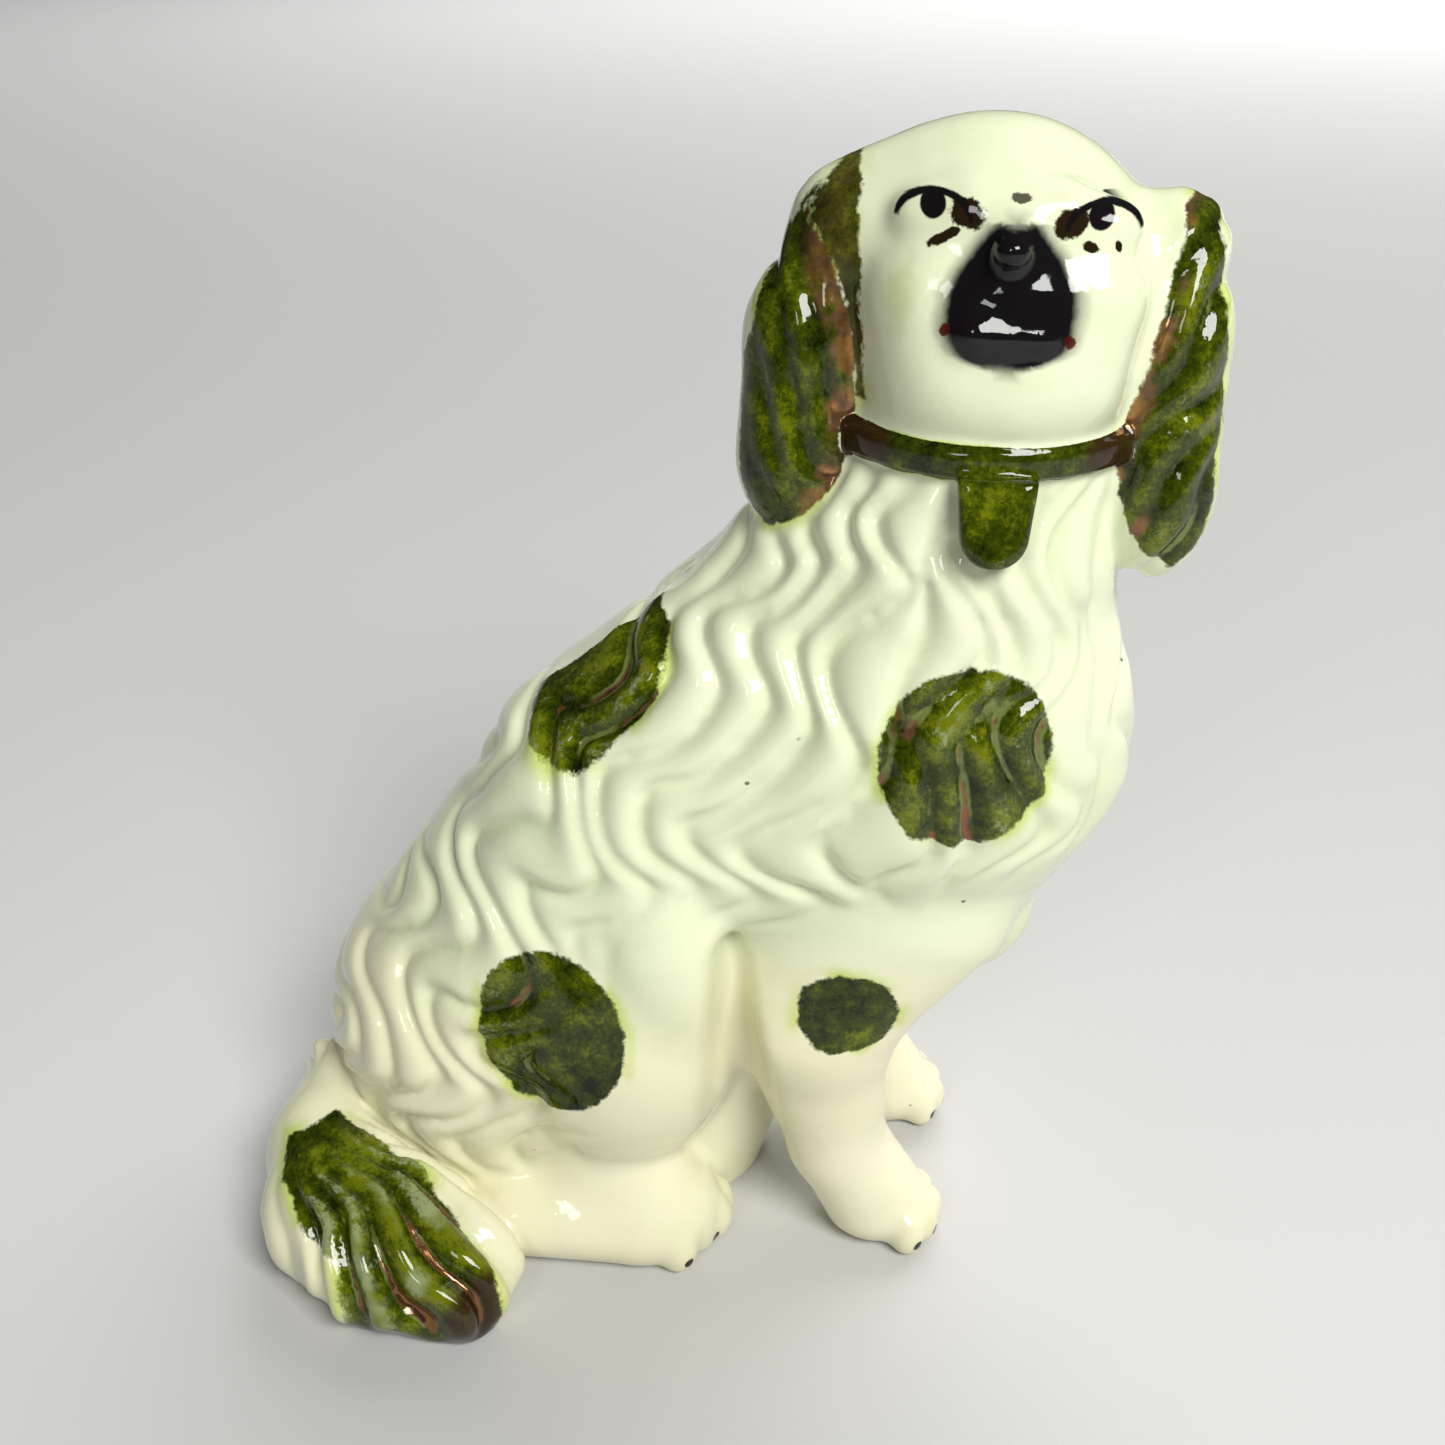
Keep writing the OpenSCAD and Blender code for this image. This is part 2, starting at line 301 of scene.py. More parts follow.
def model_trunk(trunk, neck, at, r, u):
    """The trunk from the rump up to the neck, with both thighs."""
    rump = at(trunk.lo[0] + 38.6 * u, 0, 36 * u)
    chest = at(trunk.hi[0] - 39 * u, 0, 112 * u)
    waist = rump * 0.55 + chest * 0.45 + r(-4.5, 0, 17)
    ruff = neck + r(-4, -1, -23)
    withers = neck + r(-20, 0, -31)
    brisket = chest + r(10, 0, -40)
    rump_r, waist_r, chest_r, withers_r = r(36, 35, 36), r(32, 30.5, 32.5), r(38, 32.5, 39), r(21.5, 21, 21.5)
    body = [
        (limb(rump, rump_r, rump + r(2, 0, -24), r(33, 32.5, 27)), 0),
        (limb(rump, rump_r, waist, waist_r), 3),
        (limb(waist, waist_r, chest, chest_r), 3),
        (limb(chest, chest_r, ruff, r(27.5, 26, 24)), 6),
        (limb(ruff, r(25.5, 25, 21), neck + r(0, 0, -2), r(24.4, 24.4, 10)), 5),
        (limb(waist, waist_r, withers, withers_r), 5),
        (limb(withers, withers_r, ruff, r(25, 25, 24)), 5),
        (limb(chest + r(0, 0, -8), r(33, 28, 29), brisket, r(16, 16, 15)), 8),
        (limb(rump + r(31, 0, -34), r(24, 21, 14), waist + r(14, 0, -30), r(23, 19, 24)), 7),
    ]
    hip = at(rump[0] + 20 * u, -trunk.hi[1] + 23 * u, 54 * u)
    knee = at(rump[0] + 38 * u, -trunk.hi[1] + 16.5 * u, 68 * u)
    thigh = [
        (limb(hip + r(-3, 2, -4), r(28, 21, 39), knee, r(14.5, 13, 23)), 3),
        (blob(hip + r(8, 0, -6), r(24, 22.5, 33)), 3),
    ]
    far_thigh = mirrored(thigh)
    FORMS["trunk"] = body + [thigh[0], far_thigh[0], thigh[1], far_thigh[1]]
    return dict(rump=rump, chest=chest, waist=waist)


def model_head(head, neck, at, r, u):
    """The head, its forehead leaning back, and the muzzle on it."""
    mid = at(neck[0], 2 * u, head.hi[2] - 27 * u)
    face = mid + r(2, -20.5, 14.5)  # between the eyes
    FORMS["head"] = [
        (blob(mid + r(-0.5, 0, 0), r(25.5, 24, 26.8)), 0),
        (limb(mid + r(-10, 1, 11), r(13, 13, 10), mid + r(-22, 0, 8), r(9, 10, 9)), 9),
        (limb(mid + r(8, 1, 8), r(13, 13, 10), mid + r(18, 0, 4), r(9, 10, 9)), 7),
        (limb(mid + r(0, -2, -2), r(22.5, 21, 19), neck + r(1, -6, 10), r(20.5, 17.5, 13)), 5),
        (limb(neck + r(0, 0, 10), r(21.5, 21.5, 12), neck + r(0, 0, 2), r(23.6, 23.6, 9)), 5),
        (limb(face + r(-6, 2.5, 1), r(5, 4, 4), face + r(6, 2.5, 1), r(5, 4, 4)), 6),
        (blob(face + r(-12.1, 4.4, 0.4), r(6.0, 4.0, 3.8)), 2.5),
        (blob(face + r(12.0, 4.4, -0.6), r(6.0, 4.0, 3.8)), 2.5),
    ]
    for side in (-1, 1):  # the cheeks
        cheek = limb(face + r(12 * side, 3, -12), r(7, 7, 7), face + r(8 * side, 1.5, -22), r(8, 8, 8))
        FORMS["head"].append((cheek, 8))
    FORMS["head"].append((blob(face + r(0, 0.5, -25), r(8, 7, 6.5)), 6))

    tip = face + r(-0.8, -5.6, -2.9)
    lip_r = r(4.4, 6.0, 4.2)
    lip = limb(face + r(-5.0, -3.6, -14.6), lip_r, face + r(3.8, -2.0, -14.2), lip_r)
    FORMS["muzzle"] = [
        (limb(face + r(0, 1.5, -0.6), r(3.0, 4, 2.4), tip, r(2.5, 2.8, 2.3)), 0),
        (limb(face + r(0, 1.2, -5.0), r(6.4, 5.6, 4.6), face + r(0, -2.0, -10.6), r(8.6, 5.2, 6.0)), 3.6),
        (sliced(lip, face + r(-0.6, -8.0, -13.0), (0.20, -0.84, 0.50)), 1.4),
        (blob(face + r(-0.4, -1.8, -18.2), r(6.4, 5.2, 2.4)), 0.9),
    ]
    return dict(mid=mid, face=face)


def model_ears(marks, at, r, u):
    """The ears, which hang at different angles."""
    mid, (right, left) = marks["mid"], marks["ears"]
    FORMS["right_ear"] = strand(
        [
            (mid + r(-16, 0, 9), r(8, 10, 7)),
            (mid + r(-21, -1, 6), r(10.6, 10, 11)),
            (at(right.lo[0] + 13.2 * u, -3 * u, right.lo[2] + 32 * u), r(11.6, 10.5, 14)),
            (at(right.lo[0] + 12.4 * u, -5 * u, right.lo[2] + 13.5 * u), r(12.0, 10.5, 15)),
        ],
        2,
    )
    FORMS["left_ear"] = strand(
        [
            (mid + r(19, 0, 6), r(7, 9, 7)),
            (mid + r(26.5, -1, 8), r(8, 10, 8)),
            (at(left.hi[0] - 14 * u, -3 * u, left.lo[2] + 37 * u), r(9.6, 10.5, 14)),
            (at(left.hi[0] - 13.6 * u, -5 * u, left.lo[2] + 15 * u), r(10.4, 10.5, 15)),
        ],
        2,
    )


def model_collar(collar, neck, at, r, u):
    """The collar, and the locket that leans out under it."""
    ring = band(neck, collar.hi[0] - neck[0] - 0.3 * u, (collar.hi[2] - neck[2]) * 0.82, 1.1 * u)
    FORMS["collar"] = [(ring, 0.8)]
    locket = Box("collar_locket")
    size = locket.hi - locket.lo
    hang = at(locket.mid[0], -(collar.hi[1] - 0.2 * u), locket.hi[2] + 1.4 * u)
    FORMS["locket"] = [(tab(hang, r(size[0] / 2 - 0.4, 2.3, size[2] / 2), math.radians(18), 1.5 * u), 0.9)]


def model_legs(at, r, u):
    """The forelegs, the hind feet, and the hollow between a thigh and a foreleg."""
    paw, foot = Box("near_foreleg"), Box("near_hind_foot")
    stand = at(paw.hi[0] - 27 * u, -17.5 * u, 7 * u)
    ankle, elbow = stand + r(-9.5, 0, 15), stand + r(-16, -1, 46)
    fore = [
        (limb(stand + r(-1, 0, 0), r(11.2, 10, 8.4), ankle, r(9.6, 9.3, 10)), 0),
        (limb(ankle, r(9.6, 9.3, 10), elbow, r(16.5, 12.5, 12)), 3),
        (limb(elbow, r(16.5, 12.5, 12), elbow + r(12, 3.5, 24), r(24, 14, 18)), 6),
    ]
    fore += toes(stand + r(-1.3, 0.2, -2.6), FORE_TOES, 3.5, u)
    heel = at(foot.mid[0] + 2 * u, foot.mid[1] + 2.5 * u, 7 * u)
    hind = [
        (limb(heel + r(-18, -1, 1), r(12, 12, 9.5), heel + r(5, 0, 0), r(12.5, 11.6, 8.4)), 0),
        (limb(heel + r(-2, 5, 10), r(15, 11, 14), heel + r(10, 3, 1), r(12, 11, 9)), 6),
    ]
    hind += toes(heel + r(7, 1, -2.4), HIND_TOES, 4.0, u)
    gap = [(limb(stand + r(-30, -23, 66), r(3.0, 19.5, 5.5), stand + r(-26.5, -23, 17), r(9.4, 20, 15)), 0)]
    for name, part in (("foreleg", fore), ("hind_foot", hind), ("gap", gap)):
        FORMS["near_" + name], FORMS["far_" + name] = part, mirrored(part)
    return dict(stand=stand, heel=heel)


def model_tail(tail, at, r, u):
    """The tail's plume, which lies on the ground and curls round to the near side."""
    x, y = tail.lo[0], tail.lo[1]
    path = [
        (at(x + 13 * u, -12 * u, 15 * u), r(9.5, 10, 15)),
        (at(x + 13.5 * u, -28 * u, 12 * u), r(12.6, 13.4, 17)),
        (at(x + 20 * u, y + 24 * u, 10 * u), r(15.8, 15.8, 16.4)),
        (at(x + 33 * u, y + 17.5 * u, 8 * u), r(16, 16.3, 15.4)),
        (at(x + 45 * u, y + 14.5 * u, 6 * u), r(12, 14, 12.8)),
        (at(x + 50 * u, y + 12 * u, 5 * u), r(6.6, 10.6, 10)),
    ]
    FORMS["tail"] = strand(path, 2)


# how softly each part is worked onto the ones before it, or, below zero, cut out of them
JOIN = {
    "trunk": 0,
    "head": 4,
    "near_foreleg": 5,
    "far_foreleg": 5,
    "near_gap": -3,
    "far_gap": -3,
    "near_hind_foot": 3,
    "far_hind_foot": 3,
    "tail": 2.2,
    "right_ear": 2.6,
    "left_ear": 2.6,
    "muzzle": 3.2,
    "collar": 0.9,
    "locket": 0.9,
}
# the parts that are cut off the skin, in turn, before the trunk and the head part at the collar
CUT_ORDER = (
    "collar",
    "locket",
    "muzzle",
    "right_ear",
    "left_ear",
    "tail",
    "near_hind_foot",
    "far_hind_foot",
    "near_foreleg",
    "far_foreleg",
)


FAR_OFF = 50  # mm; the distance where nothing has been measured
PART_ROOM, LUMP_ROOM = 12, 14  # mm round a part, and round a lump, where its distance is measured
SOLE_SOFTNESS = 1.6  # how softly the feet meet the ground
EAR_BLEND = {"right_ear": 8, "left_ear": 1}  # how much more softly an ear runs into the skull than the cheek


def raise_clay(step):
    """The distance to the whole dog on a grid: (grid, its lowest corner)."""
    every = [lump for name in JOIN for lump, _ in FORMS[name]]
    lo = np.min([v.lo for v in every], axis=0) - 3 * step - 1
    hi = np.max([v.hi for v in every], axis=0) + 3 * step + 1
    lo[2] = -2.5 * step
    count = np.ceil((hi - lo) / step).astype(int) + 1
    axes = [(lo[i] + step * np.arange(count[i])).astype(np.float32) for i in range(3)]
    d = np.full(count, FAR_OFF, np.float32)
    for name, soft in JOIN.items():
        own_lo = np.min([v.lo for v, _ in FORMS[name]], axis=0) - PART_ROOM
        own_hi = np.max([v.hi for v, _ in FORMS[name]], axis=0) + PART_ROOM
        first = np.clip(((own_lo - lo) / step).astype(int), 0, count)
        last = np.clip(((own_hi - lo) / step).astype(int) + 2, 0, count)
        part = np.full(last - first, FAR_OFF, np.float32)
        for lump, k in FORMS[name]:
            a = np.clip(((lump.lo - LUMP_ROOM - lo) / step).astype(int), first, last)
            b = np.clip(((lump.hi + LUMP_ROOM - lo) / step).astype(int) + 2, first, last)
            here = tuple(slice(i - f, j - f) for i, j, f in zip(a, b, first))
            x, y, z = axes[0][a[0] : b[0], None, None], axes[1][None, a[1] : b[1], None], axes[2][a[2] : b[2]]
            part[here] = soft_min(part[here], lump(x, y, z).astype(np.float32), k)
        whole = tuple(slice(i, j) for i, j in zip(first, last))
        k = soft
        if name in EAR_BLEND:  # worked softly into the skull at the top, laid against the cheek below
            above = axes[2][first[2] : last[2]] - FORMS["marks"]["mid"][2] - 2
            k = soft + EAR_BLEND[name] * np.clip(above / 12, 0, 1)
        d[whole] = soft_min(d[whole], part, k) if soft >= 0 else -soft_min(-d[whole], part, -k)
    floor = -axes[2][None, None, :] + 0 * d[:, :, :1]
    return -soft_min(-d, -floor, SOLE_SOFTNESS), lo


def skin_of(d, lo, step):
    """A surface net of quads on the grid's zero level, pulled onto it: (points, quads)."""
    inside = d < 0
    shape = np.array(d.shape) - 1
    cells, spots, faces = [], [], []
    for axis in range(3):
        a, b = (axis + 1) % 3, (axis + 2) % 3
        near = [slice(None)] * 3
        far = [slice(None)] * 3
        near[axis], far[axis] = slice(None, -1), slice(1, None)
        edge = np.argwhere(inside[tuple(near)] != inside[tuple(far)])
        edge = edge[(edge[:, a] > 0) & (edge[:, b] > 0) & (edge[:, a] < shape[a]) & (edge[:, b] < shape[b])]
        other = edge.copy()
        other[:, axis] += 1
        d0, d1 = d[tuple(edge.T)], d[tuple(other.T)]
        spot = edge.astype(float)
        spot[:, axis] += d0 / (d0 - d1)
        ring = []
        for da, db in ((-1, -1), (0, -1), (0, 0), (-1, 0)):
            cell = edge.copy()
            cell[:, a] += da
            cell[:, b] += db
            number = np.ravel_multi_index(tuple(cell.T), tuple(shape))
            ring.append(number)
            cells.append(number)
            spots.append(spot)
        ring = np.stack(ring, 1)
        ring[d0 > 0] = ring[d0 > 0][:, ::-1]
        faces.append(ring)
    cells, spots, faces = np.concatenate(cells), np.concatenate(spots), np.concatenate(faces)
    used, place = np.unique(cells, return_inverse=True)
    count = np.bincount(place)
    points = np.stack([np.bincount(place, spots[:, i]) / count for i in range(3)], 1)
    faces = np.searchsorted(used, faces)
    for turn in range(4):
        if turn in (1, 2):  # even out the faces
            points = relaxed(points, faces, 0.5)
        for _ in range(2):
            value, slope = read_grid(d, points)
            steep = np.maximum((slope**2).sum(1), 1e-6)
            points = points - (value / steep)[:, None] * slope
    return points * step + lo, faces


def read_grid(d, points):
    """(value, slope per cell) of the grid at points counted in cells."""

    def value(p):
        p = np.clip(p, 0, np.array(d.shape) - 1.001)
        i = p.astype(int)
        f = p - i
        total = 0
        for corner in range(8):
            c = [(corner >> s) & 1 for s in range(3)]
            weight = np.prod([f[:, s] if c[s] else 1 - f[:, s] for s in range(3)], axis=0)
            total = total + weight * d[i[:, 0] + c[0], i[:, 1] + c[1], i[:, 2] + c[2]]
        return total

    slope = np.stack([value(points + e) - value(points - e) for e in np.eye(3)], 1) / 2
    return value(points), slope


def relaxed(points, faces, share):
    """Each point moved a share of the way to the middle of its neighbours."""
    a = np.concatenate([faces[:, i] for i in range(faces.shape[1])])
    b = np.concatenate([faces[:, (i + 1) % faces.shape[1]] for i in range(faces.shape[1])])
    both, other = np.concatenate([a, b]), np.concatenate([b, a])
    count = np.maximum(np.bincount(both, minlength=len(points)), 1)
    sums = [np.bincount(both, column, minlength=len(points)) for column in points[other].T]
    return points + share * (np.stack(sums, 1) / count[:, None] - points)


# ---------- meshes ----------


def mesh_of(name, points, faces, fields=(), normals=None):
    """A mesh with float fields on its points."""
    mesh = bpy.data.meshes.new(name)
    n, size = len(faces), faces.shape[1]
    mesh.vertices.add(len(points))
    mesh.vertices.foreach_set("co", (points * MM).astype(np.float32).ravel())
    mesh.loops.add(n * size)
    mesh.loops.foreach_set("vertex_index", faces.astype(np.int32).ravel())
    mesh.polygons.add(n)
    mesh.polygons.foreach_set("loop_start", np.arange(0, n * size, size, dtype=np.int32))
    mesh.polygons.foreach_set("use_smooth", np.ones(n, bool))
    mesh.update(calc_edges=True)
    for key, values in dict(fields).items():
        layer = mesh.attributes.new(key, "FLOAT", "POINT")
        layer.data.foreach_set("value", values.astype(np.float32))
    if normals is not None:
        mesh.normals_split_custom_set_from_vertices(normals.astype(np.float32).tolist())
    return mesh


def read_mesh(rows, key, size):
    """The values of every row of a mesh, size to a row."""
    flat = np.zeros(len(rows) * size, np.float32)
    rows.foreach_get(key, flat)
    return flat.reshape(-1, size)


def show(name, mesh):
    obj = bpy.data.objects.new(name, mesh)
    bpy.context.scene.collection.objects.link(obj)
    return obj


def smooth(x, lo, hi):
    """Smoothly from 0 at lo to 1 at hi."""
    t = np.clip((x - lo) / (hi - lo), 0, 1)
    return t * t * (3 - 2 * t)


class Wire:
    """A node's output that can be used in sums, in a material or in a coat's nodes."""

    def __init__(self, tree, socket):
        self.tree, self.socket = tree, socket

    def node(self, kind, **settings):
        made = self.tree.nodes.new(kind)
        for key, value in settings.items():
            setattr(made, key, value)
        return made

    def op(self, operation, *others):
        made = self.node("ShaderNodeMath", operation=operation)
        for socket, value in zip(made.inputs, (self, *others)):
            join(self.tree, value, socket)
        return Wire(self.tree, made.outputs[0])

    def __add__(self, other):
        return self.op("ADD", other)

    def __sub__(self, other):
        return self.op("SUBTRACT", other)

    def __mul__(self, other):
        return self.op("MULTIPLY", other)

    def __truediv__(self, other):
        return self.op("DIVIDE", other)

    def __pow__(self, other):
        return self.op("POWER", other)

    def __rsub__(self, other):
        return (self * -1.0) + other

    __radd__, __rmul__ = __add__, __mul__

    def low(self, other):
        return self.op("MINIMUM", other)

    def high(self, other):
        return self.op("MAXIMUM", other)

    def ramp(self, start, end, low=0.0, high=1.0):
        """Smoothly from low at start to high at end."""
        made = self.node("ShaderNodeMapRange", interpolation_type="SMOOTHSTEP")
        for socket, value in zip(made.inputs, (self, start, end, low, high)):
            join(self.tree, value, socket)
        return Wire(self.tree, made.outputs[0])


def join(tree, value, socket):
    if isinstance(value, Wire):
        tree.links.new(value.socket, socket)
    else:
        socket.default_value = value


# ---------- the curly coat ----------

COAT_INPUTS = ("Relief", "Swing", "Raggedness", "Seed")
OTHER_SIDE = 9.0  # locks; puts a groove that lies on the other side out of reach


def coat_tree():
    """Geometry nodes that raise locks over a skin, along the fields across, along, tall and swing."""
    tree = bpy.data.node_groups.new("curly_coat", "GeometryNodeTree")
    face = tree.interface
    face.new_socket("Skin", in_out="INPUT", socket_type="NodeSocketGeometry")
    for name in COAT_INPUTS:
        face.new_socket(name, in_out="INPUT", socket_type="NodeSocketFloat")
    face.new_socket("Glaze", in_out="INPUT", socket_type="NodeSocketMaterial")
    face.new_socket("Skin", in_out="OUTPUT", socket_type="NodeSocketGeometry")
    given, out = tree.nodes.new("NodeGroupInput"), tree.nodes.new("NodeGroupOutput")
    wire = {s.name: Wire(tree, s) for s in given.outputs if s.name}

    def field(name):
        made = tree.nodes.new("GeometryNodeInputNamedAttribute")
        made.data_type = "FLOAT"
        made.inputs[0].default_value = name
        return Wire(tree, made.outputs[0])

    high = lock_height(tree, wire, field) * field("tall")
    blur = tree.nodes.new("GeometryNodeBlurAttribute")
    blur.data_type = "FLOAT"
    blur.inputs["Iterations"].default_value = 3
    join(tree, high, next(s for s in blur.inputs if s.name == "Value" and s.enabled))
    level = Wire(tree, next(s for s in blur.outputs if s.enabled))
    keep = tree.nodes.new("GeometryNodeStoreNamedAttribute")
    keep.data_type, keep.domain = "FLOAT", "POINT"
    keep.inputs["Name"].default_value = "relief"
    join(tree, wire["Skin"], keep.inputs["Geometry"])
    join(tree, level, next(s for s in keep.inputs if s.name == "Value" and s.enabled))
    normal = tree.nodes.new("GeometryNodeInputNormal")
    push = tree.nodes.new("ShaderNodeVectorMath")
    push.operation = "SCALE"
    tree.links.new(normal.outputs[0], push.inputs[0])
    join(tree, level * wire["Relief"], push.inputs["Scale"])
    move = tree.nodes.new("GeometryNodeSetPosition")
    tree.links.new(keep.outputs[0], move.inputs["Geometry"])
    tree.links.new(push.outputs[0], move.inputs["Offset"])
    real = tree.nodes.new("GeometryNodeRealizeInstances")
    paint = tree.nodes.new("GeometryNodeSetMaterial")
    tree.links.new(move.outputs[0], real.inputs[0])
    tree.links.new(real.outputs[0], paint.inputs["Geometry"])
    join(tree, wire["Glaze"], paint.inputs["Material"])
    tree.links.new(paint.outputs[0], out.inputs[0])
    return tree


def lock_height(tree, wire, field):
    """How high the coat stands: fat locks between grooves that each swing in their own time."""

    def noise(scale, offset):
        made = tree.nodes.new("ShaderNodeTexNoise")
        made.noise_dimensions = "4D"
        made.inputs["Scale"].default_value = scale
        made.inputs["Detail"].default_value = 1.0
        join(tree, wire["Seed"] + offset, made.inputs["W"])
        return Wire(tree, made.outputs[0]) - 0.5

    across, along, swing = field("across"), field("along"), field("swing")
    drift, wander, fade = noise(22.0, 0.0), noise(34.0, 3.7), noise(26.0, 8.1)
    phase = along * (2 * math.pi) + drift * 9.0
    turn = (phase + (phase * 2.0).op("SINE") * 0.15).op("SINE")  # round bends, steep between them
    swung = turn * swing * wire["Swing"] * (fade * 1.4 + 1.0)
    place = across + swung + wander * wire["Raggedness"] * 3.2
    first = place.op("FLOOR")
    left = right = None
    for step in (-1.0, 0.0, 1.0, 2.0):  # the grooves that may be nearest
        number = first + step
        own = tree.nodes.new("ShaderNodeTexWhiteNoise")
        own.noise_dimensions = "1D"
        join(tree, number * 1.37 + wire["Seed"], own.inputs["W"])
        own_phase = phase * 0.9 + Wire(tree, own.outputs["Value"]) * (2 * math.pi)
        gap = number + own_phase.op("SINE") * swing * wire["Swing"] * 0.84 - place
        ahead = gap + gap.op("LESS_THAN", 0.0) * OTHER_SIDE
        behind = (gap * -1.0) + gap.op("GREATER_THAN", 0.0) * OTHER_SIDE
        right = ahead if right is None else right.low(ahead)
        left = behind if left is None else left.low(behind)
    width = left + right
    t = left / width.high(0.05)
    shape = (t.high(0.0) ** 0.5) * ((1.0 - t).high(0.0) ** 0.75) * 2.2  # steep on one side, as a curl is
    depth = fade.ramp(-0.24, 0.04, 0.5, 1.0)
    return shape * width.ramp(0.15, 0.9, 0.45, 1.0) * depth - depth * 0.55


def through(obj, tree, **inputs):
    """obj's mesh as the geometry nodes leave it."""
    mod = obj.modifiers.new("coat", "NODES")
    mod.node_group = tree
    for item in tree.interface.items_tree:
        if item.in_out == "INPUT" and item.name in inputs:
            mod[item.identifier] = inputs[item.name]
    graph = bpy.context.evaluated_depsgraph_get()
    seen = obj.evaluated_get(graph)
    made = bpy.data.meshes.new_from_object(seen, preserve_all_data_layers=True, depsgraph=graph)
    obj.modifiers.remove(mod)
    return made


def tail_fan(x, y):
    """Where a point lies in the tail's plume, which fans out from its root: (degrees, reach)."""
    t, u = FORMS["marks"]["tail"], FORMS["marks"]["u"]
    dx, dy = x - t.lo[0] - 10 * u, y + 28 * u
    return np.degrees(np.arctan2(-dy, dx)), np.hypot(dx, dy)


# each ear's locks: how far they lean, and how wide they are in mm
EAR_LOCKS = (("right_ear", 0.48, 6.0), ("left_ear", -0.53, 5.6))
SMOOTH_PARTS = (
    "head",
    "muzzle",
    "collar",
    "locket",
    "near_foreleg",
    "far_foreleg",
    "near_hind_foot",
    "far_hind_foot",
)


def coat_fields(p, own, coat):
    """Where each point lies in the coat: across in locks, along in waves, how tall, how much it swings."""
    m = FORMS["marks"]
    u, neck, chest, rump, waist = m["u"], m["neck"], m["chest"], m["rump"], m["waist"]
    x, y, z = p.T
    wave = coat.wave * 1000 * u
    lock = coat.lock * 1000 * u * (0.8 + 0.2 * smooth(neck[2] - z, 0, 70 * u))
    # round the front of the chest and back along the flanks, fanning out downwards
    lean = 0.24 * (z - chest[2]) * smooth(chest[0] - x, -10 * u, 90 * u)
    ahead = x - chest[0] - lean
    side = np.abs(y)
    turn = np.arctan2(side, np.maximum(ahead, 1e-3))
    arc = 36 * u
    across = np.where(ahead > 0, arc * turn, arc * math.pi / 2 - ahead)
    over = smooth(z, waist[2] - 5 * u, waist[2] + 30 * u) * smooth(-ahead, 0, 20 * u)
    across = (across + 0.2 * over * (25 * u - side)) / lock
    along = (z + 0.15 * x) / wave
    high_up = np.maximum(z - neck[2] + 44 * u, 0)
    along = along + 0.0020 * high_up * high_up / (wave * u)  # tighter waves under the collar
    # the rump's locks curl down to the ground; the front of the thigh, the belly and the legs are smooth
    hip = np.hypot(x - rump[0] - 42 * u, (z - 54 * u) * 0.72)
    hem = 60 * u + 30 * u * smooth(x, 45 * u, 90 * u)
    tall = smooth(z - hem, -4 * u, 16 * u)
    rear = smooth(rump[0] + 24 * u - x, -10 * u, 14 * u)
    tall = np.maximum(tall, rear * smooth(z, 6 * u, 28 * u)) * smooth(hip, 15 * u, 33 * u)
    tall *= 1 - 0.35 * smooth(ahead, 12 * u, 26 * u)  # finer down the middle of the chest
    tall *= 1 - 0.3 * smooth(rump[0] - 8 * u - x, 0, 20 * u) * smooth(100 * u - z, 0, 30 * u)
    off_spine = side + 30 * u * smooth(x, chest[0], chest[0] + 20 * u)
    tall *= 0.45 + 0.55 * smooth(off_spine, 3 * u, 20 * u)  # low along the spine
    swing = np.ones(len(p))
    for name, lean, wide in EAR_LOCKS:
        on = own[name]
        lobe = m["ears"][name == "left_ear"]
        s = math.sqrt(1 - lean * lean)
        across[on] = (x[on] * s + z[on] * lean - 0.25 * y[on]) / (wide * u)
        along[on] = (z[on] * s - x[on] * lean) / (33 * u) + 0.2
        rim = x[on] - lobe.lo[0] if name == "right_ear" else lobe.hi[0] - x[on]
        tall[on] = 0.85 * smooth(m["mid"][2] + 20 * u - z[on], 0, 16 * u) * smooth(rim, 2 * u, 11 * u)
        swing[on] = 0.55
    on = own["tail"]
    fan, reach = tail_fan(x[on], y[on])
    across[on] = (fan - 14 * smooth(30 * u - reach, 0, 15 * u) - 53) / 10.2 + 0.5
    along[on] = reach / (52 * u)
    ground, root = smooth(z[on], 1.5 * u, 8 * u), smooth(reach, 7 * u, 18 * u)
    tall[on] = 1.8 * ground * root * (1 - 0.75 * smooth(fan, 64, 78))
    swing[on] = 0.25
    for name in SMOOTH_PARTS:
        tall[own[name]] = 0
    return dict(across=across, along=along, tall=tall, swing=swing)


